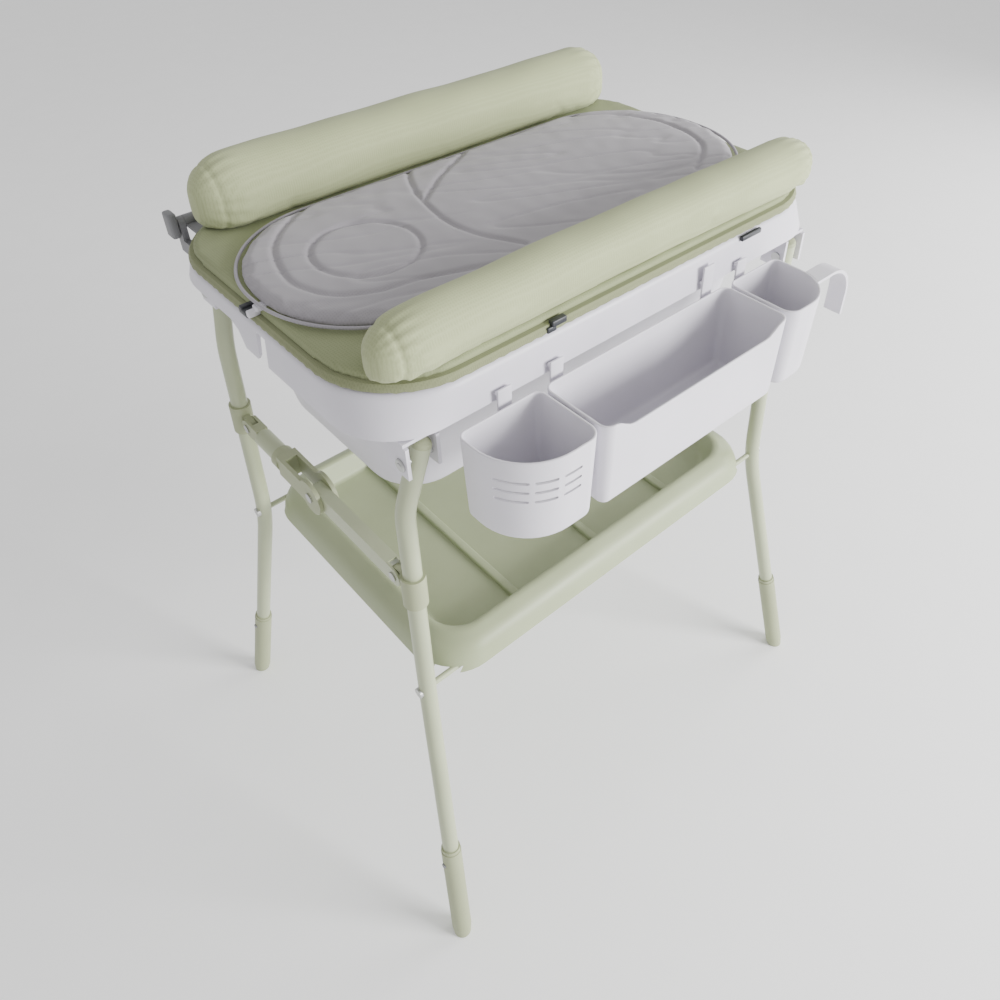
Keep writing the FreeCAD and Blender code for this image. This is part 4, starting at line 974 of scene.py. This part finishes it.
@dataclass
class ChangingTop:
    """The base cover, hem, liner and small fittings of the changing top, in millimetres."""

    pad: Level = field(default_factory=lambda: level(342.0, 219.0, 99.0, 913.6))
    pad_high: float = 924.0
    hem_low: float = 905.0
    liner: Level = field(default_factory=lambda: level(340.0, 143.0, 138.0, 925.0))
    liner_y: float = -6.0
    liner_high: float = 936.5

    HEAD = (-204.0, -3.0, 60.0)
    SEAMS = (
        ((-140.0, 134.0), (-170.0, 132.0), (-210.0, 124.0), (-273.0, 72.0), (-299.0, 2.0), (-294.0, -39.0),
         (-277.0, -65.0), (-242.0, -86.0), (-198.0, -95.0), (-142.0, -116.0), (-100.0, -134.0)),
        ((-50.0, 136.0), (-73.0, 99.0), (-93.0, 44.0), (-102.0, -18.0), (-94.0, -63.0), (-70.0, -112.0)),
        ((-93.0, 44.0), (-38.0, 86.0), (30.0, 124.0)),
        ((215.0, 128.0), (272.0, 82.0), (298.0, 10.0), (280.0, -64.0), (215.0, -112.0)),
    )

    def build_pad(self) -> bpy.types.Object:
        """Blow up the thin base pad that covers the board.

        Returns:
            The cover.
        """
        low, high = self.pad, replace(self.pad, z=self.pad_high)
        inner = replace(self.pad, half_x=self.pad.half_x - 6, half_y=self.pad.half_y - 6,
                        radii=(92.0,) * 4, z=self.pad_high)
        mesh = shell_of(eased([replace(low, half_x=330, half_y=207, radii=(90.0,) * 4), replace(low, ease=2),
                               replace(high, ease=4), inner]), arc=12, side=20)
        made = puffed(mesh, "base_cover", Puff(voxel=4.5, pressure=2.5, cap=2.6, floor_z=913.2,
                                               ceiling_z=self.pad_high + 1.2))
        for vert in made.verts:
            if vert.co.z > self.pad.z + 6:
                edge = max(abs(vert.co.x) / 343, abs(vert.co.y) / 220)
                fold = noise.noise(Vector((vert.co.x / 26, vert.co.y / 26, 3.0)))
                vert.co.z += 1.1 * fold * smoothstep(0.62, 0.9, edge)
        # The base cover takes the sage canvas painted darker, as painted shade between the bolsters.
        piece = finish_piece(made, "base_cover", "changing_top", SHADED_PAD_CANVAS, CLOTH_CREASE)
        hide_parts("base_pad")
        return piece

    def build_hem(self) -> None:
        """Add the elastic hem that grips the rim."""
        def ring(grow: float, z: float) -> Level:
            """Return the cover's outline, let out by a distance."""
            return level(343.0 + grow, 220.0 + grow, 100.0 + grow, z)

        outside = [ring(-8.0, 917.0), ring(0.6, 916.4), ring(3.0, 912.6), ring(3.6, 909.8), ring(3.2, 908.4)]
        inside = [ring(2.2, 908.2), ring(2.0, 909.8), ring(1.4, 912.2), ring(-8.0, 914.8)]
        band = shell_of(outside + inside, arc=24, side=70, closed=True)
        for vert in band.verts:
            along = math.atan2(vert.co.y, vert.co.x) * 60
            vert.co.z += 0.6 * math.sin(along * 2.3) * (916 - vert.co.z) / 8
            vert.co.xy *= 1 + 0.0014 * math.sin(along * 3.1) * (916 - vert.co.z) / 8
        hem = finish_piece(band, "cover_hem", "changing_top", HEM_TAPE, 50.0)

    def build_liner(self) -> bpy.types.Object:
        """Blow up the liner, quilt it and bind its edge.

        Returns:
            The liner.
        """
        low = self.liner
        top = replace(low, half_x=low.half_x - 8, half_y=low.half_y - 8, radii=(128.0,) * 4,
                      z=self.liner_high)
        under = replace(low, half_x=low.half_x - 4, half_y=low.half_y - 4, radii=(133.0,) * 4)
        mid = replace(low, z=(low.z + self.liner_high) / 2)
        mesh = shell_of(eased([under, replace(mid, ease=3), top]), arc=16, side=30)
        made = puffed(mesh, "liner_quilt", Puff(voxel=4.5, pressure=3.0, cap=3.5, floor_z=925.0,
                                                ceiling_z=self.liner_high + 2.4))
        head = [(self.HEAD[0] + self.HEAD[2] * math.cos(turn), self.HEAD[1] + self.HEAD[2] * math.sin(turn))
                for turn in (math.tau * step / 40 for step in range(41))]
        lines = [through(list(seam)) for seam in self.SEAMS] + [head]
        for vert in made.verts:
            if vert.co.z < low.z + 5:
                continue
            away = min(seam_distance(vert.co.x, vert.co.y + self.liner_y, line) for line in lines)
            pull = math.exp(-(away / 3.4) ** 2)
            crease = 1 - abs(noise.noise(Vector((vert.co.x / 55 + vert.co.y / 30, vert.co.y / 60, 1.7)))) * 2
            vert.co.z -= 3.2 * pull + 1.5 * max(0.0, crease - 0.72) * 3
            vert.co.z += 0.7 * noise.noise(Vector((vert.co.x / 22, vert.co.y / 22, 8.0)))
        bmesh.ops.translate(made, vec=(0, self.liner_y, 0), verts=made.verts)
        piece = finish_piece(made, "liner_quilt", "changing_top", LINER_JERSEY, CLOTH_CREASE)
        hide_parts("liner_pad")
        cord = [level(low.half_x + 0.6 + 1.9 * math.cos(turn), low.half_y + 0.6 + 1.9 * math.cos(turn),
                      low.radii[0] + 0.6 + 1.9 * math.cos(turn), 930.5 + 1.9 * math.sin(turn))
                for turn in (math.tau * step / 8 for step in range(8))]
        ring = shell_of(cord, arc=30, side=12, closed=True)
        bmesh.ops.translate(ring, vec=(0, self.liner_y, 0), verts=ring.verts)
        finish_piece(ring, "liner_binding", "changing_top", LINER_BINDING, 80.0)
        return piece

    def fittings(self) -> None:
        """Add the strap clip at the left end and the catches along the front hem."""
        clip = bmesh.new()
        add_block(clip, (-352.0, -8.0, 914.0), (-338.0, 10.0, 921.0), 1.6)
        add_block(clip, (-352.0, 2.0, 918.0), (-330.0, 8.0, 923.5), 1.2)
        finish_piece(clip, "strap_clip", "changing_top", DARK_NYLON)
        tongue = bmesh.new()
        add_block(tongue, (-344.0, -16.0, 921.5), (-326.0, -6.0, 927.5), 2.0)
        add_block(tongue, (-352.0, -13.0, 916.5), (-338.0, -7.0, 924.0), 1.5)
        finish_piece(tongue, "strap_tongue", "changing_top", BIN_SHELL)
        catch = bmesh.new()
        add_block(catch, (-134.0, -225.2, 912.5), (-114.0, -218.0, 920.0), 1.5)
        add_block(catch, (-140.0, -225.0, 908.0), (-128.0, -220.5, 914.5), 1.2)
        finish_piece(catch, "hem_catch", "changing_top", DARK_NYLON)
        slot = bmesh.new()
        add_block(slot, (168.0, -227.0, 898.5), (204.0, -222.4, 905.0), 1.2)
        finish_piece(slot, "rim_slot", "bath", DARK_NYLON)


# ------------------------------------------------------------------ stand
@dataclass
class Stand:
    """The finishing pieces on the folding stand, in millimetres."""

    cap_radius: float = 10.9

    def caps(self) -> None:
        """Close the open top of each leg with a domed cap."""
        for body, side_y in (("front_legs", -1), ("back_legs", 1)):
            mesh = bmesh.new()
            for side_x in (-1, 1):
                top = Vector((side_x * 293.0, side_y * 212.0, 846.0))
                shoulder = Vector((side_x * 313.5, side_y * 198.0, 755.0))
                radius = self.cap_radius
                add_lathe(mesh, [(0, -6), (radius - 1.8, -6), (radius - 1.8, 0.05), (radius, 0.05),
                                 (radius, 1.2), (radius * 0.86, 4.2), (radius * 0.5, 6.4), (0, 7.2)],
                          top, top - shoulder, 32)
            finish_piece(mesh, f"{body}_end_caps", body, FRAME_NYLON)

    def dress(self) -> None:
        """Give each node of the frame the finish of its slot, then the leg brackets the bath's finish and
        the shower hook the bins' finish.
        """
        for entry in frame["record"]["subparts"]:
            self.paint(frame["nodes"][entry["node"]], SLOT_FINISH[entry["material_slot"]])
        for name, node in frame["nodes"].items():
            if name.startswith("leg_bracket"):
                self.paint(node, BATH_SHELL)
        self.paint(frame["nodes"]["shower_hook"], BIN_SHELL)

    def paint(self, thing: bpy.types.Object, finish: Finish) -> None:
        """Put one finish on a node of the frame.

        Args:
            thing: the node's object.
            finish: the finish.
        """
        thing.data.materials.clear()
        thing.data.materials.append(finish.material())


# ------------------------------------------------------------------ studio
@dataclass
class Studio:
    """The camera, the floor and the lights, in metres and degrees."""

    eye: tuple[float, float, float] = (-0.6233, -0.7451, 1.3993)
    azimuth: float = -41.55
    elevation: float = 40.17
    roll: float = -0.36
    lens: float = 31.297
    shift: tuple[float, float] = (-0.0364, -0.0788)

    def camera(self) -> None:
        """Place the camera."""
        data = bpy.data.cameras.new("camera")
        thing = bpy.data.objects.new("camera", data)
        bpy.context.scene.collection.objects.link(thing)
        azimuth, elevation = math.radians(self.azimuth), math.radians(self.elevation)
        back = Vector((math.sin(azimuth) * math.cos(elevation), -math.cos(azimuth) * math.cos(elevation),
                       math.sin(elevation)))
        right = Vector((0, 0, 1)).cross(back).normalized()
        frame_matrix = Matrix((right, back.cross(right), back)).transposed().to_4x4()
        thing.matrix_world = (Matrix.Translation(self.eye) @ frame_matrix
                              @ Matrix.Rotation(math.radians(self.roll), 4, "Z"))
        data.lens, data.sensor_width = self.lens, 36.0
        data.shift_x, data.shift_y = self.shift
        bpy.context.scene.camera = thing

    def floor(self) -> None:
        """Lay a plain pale floor."""
        mesh = bmesh.new()
        bmesh.ops.create_grid(mesh, x_segments=1, y_segments=1, size=12.0)
        data = bpy.data.meshes.new("floor")
        mesh.to_mesh(data)
        mesh.free()
        thing = bpy.data.objects.new("floor", data)
        bpy.context.scene.collection.objects.link(thing)
        thing.location.z = -0.0005
        data.materials.append(FLOOR_PAPER.material())

    def lights(self) -> None:
        """Set a soft dome and two large soft boxes."""
        world = bpy.data.worlds.new("studio")
        bpy.context.scene.world = world
        world.use_nodes = True
        world.node_tree.nodes["Background"].inputs["Color"].default_value = (1.0, 1.0, 1.0, 1.0)
        world.node_tree.nodes["Background"].inputs["Strength"].default_value = 0.85
        for name, place, size, power in (("key", (1.7, -3.1, 1.5), 1.5, 260.0),
                                         ("fill", (3.2, -0.6, 1.6), 1.8, 60.0)):
            data = bpy.data.lights.new(name, "AREA")
            data.size, data.energy = size, power
            thing = bpy.data.objects.new(name, data)
            bpy.context.scene.collection.objects.link(thing)
            thing.location = place
            thing.rotation_euler = (Vector(place) - Vector((0, 0, 0.7))).to_track_quat("Z", "Y").to_euler()

    def build(self) -> None:
        """Set up the whole studio."""
        self.camera()
        self.floor()
        self.lights()


def main() -> None:
    """Build every sub-assembly in order and report each one."""
    logging.basicConfig(level=logging.INFO, format="%(name)s: %(message)s")
    Studio().build()
    stand = Stand()
    stand.dress()
    stand.caps()
    bath = Bath()
    bath.build()
    bath.details()
    LOG.info("bath done")
    tray = Tray()
    tray.cut_notches(tray.build())
    tray.add_ribs()
    LOG.info("tray done")
    bins = (
        Bin("box_moulding", "storage_box", "storage_box", -159.0, 132.0, 108.0, (13.0,) * 4, 3.0,
            ((-132.5, 877.0), (105.5, 893.0)), scoop=13.0),
        Bin("cup_left_moulding", "cup_left", "storage_cup_left", -270.0, -163.0, 107.0,
            (68.0, 17.6, 11.0, 11.0), 4.0, ((-202.5, 877.0),), vents=True),
        Bin("cup_right_moulding", "cup_right", "storage_cup_right", 137.0, 228.0, 107.0,
            (17.6, 54.0, 11.0, 11.0), 4.0, ((168.5, 877.0),)),
    )
    for item in bins:
        item.build()
        LOG.info("%s done", item.name)
    top = ChangingTop()
    top.build_pad()
    top.build_hem()
    top.build_liner()
    top.fittings()
    LOG.info("top done")
    for roll in (Bolster("bolster_roll_front", "bolster_front", -328.0, 330.0, 35.0, -189.0, 947.0),
                 Bolster("bolster_roll_back", "bolster_back", -314.0, 330.0, 43.0, 182.0, 963.0)):
        roll.build()
        LOG.info("%s done", roll.name)


if __name__ == "__main__":
    main()
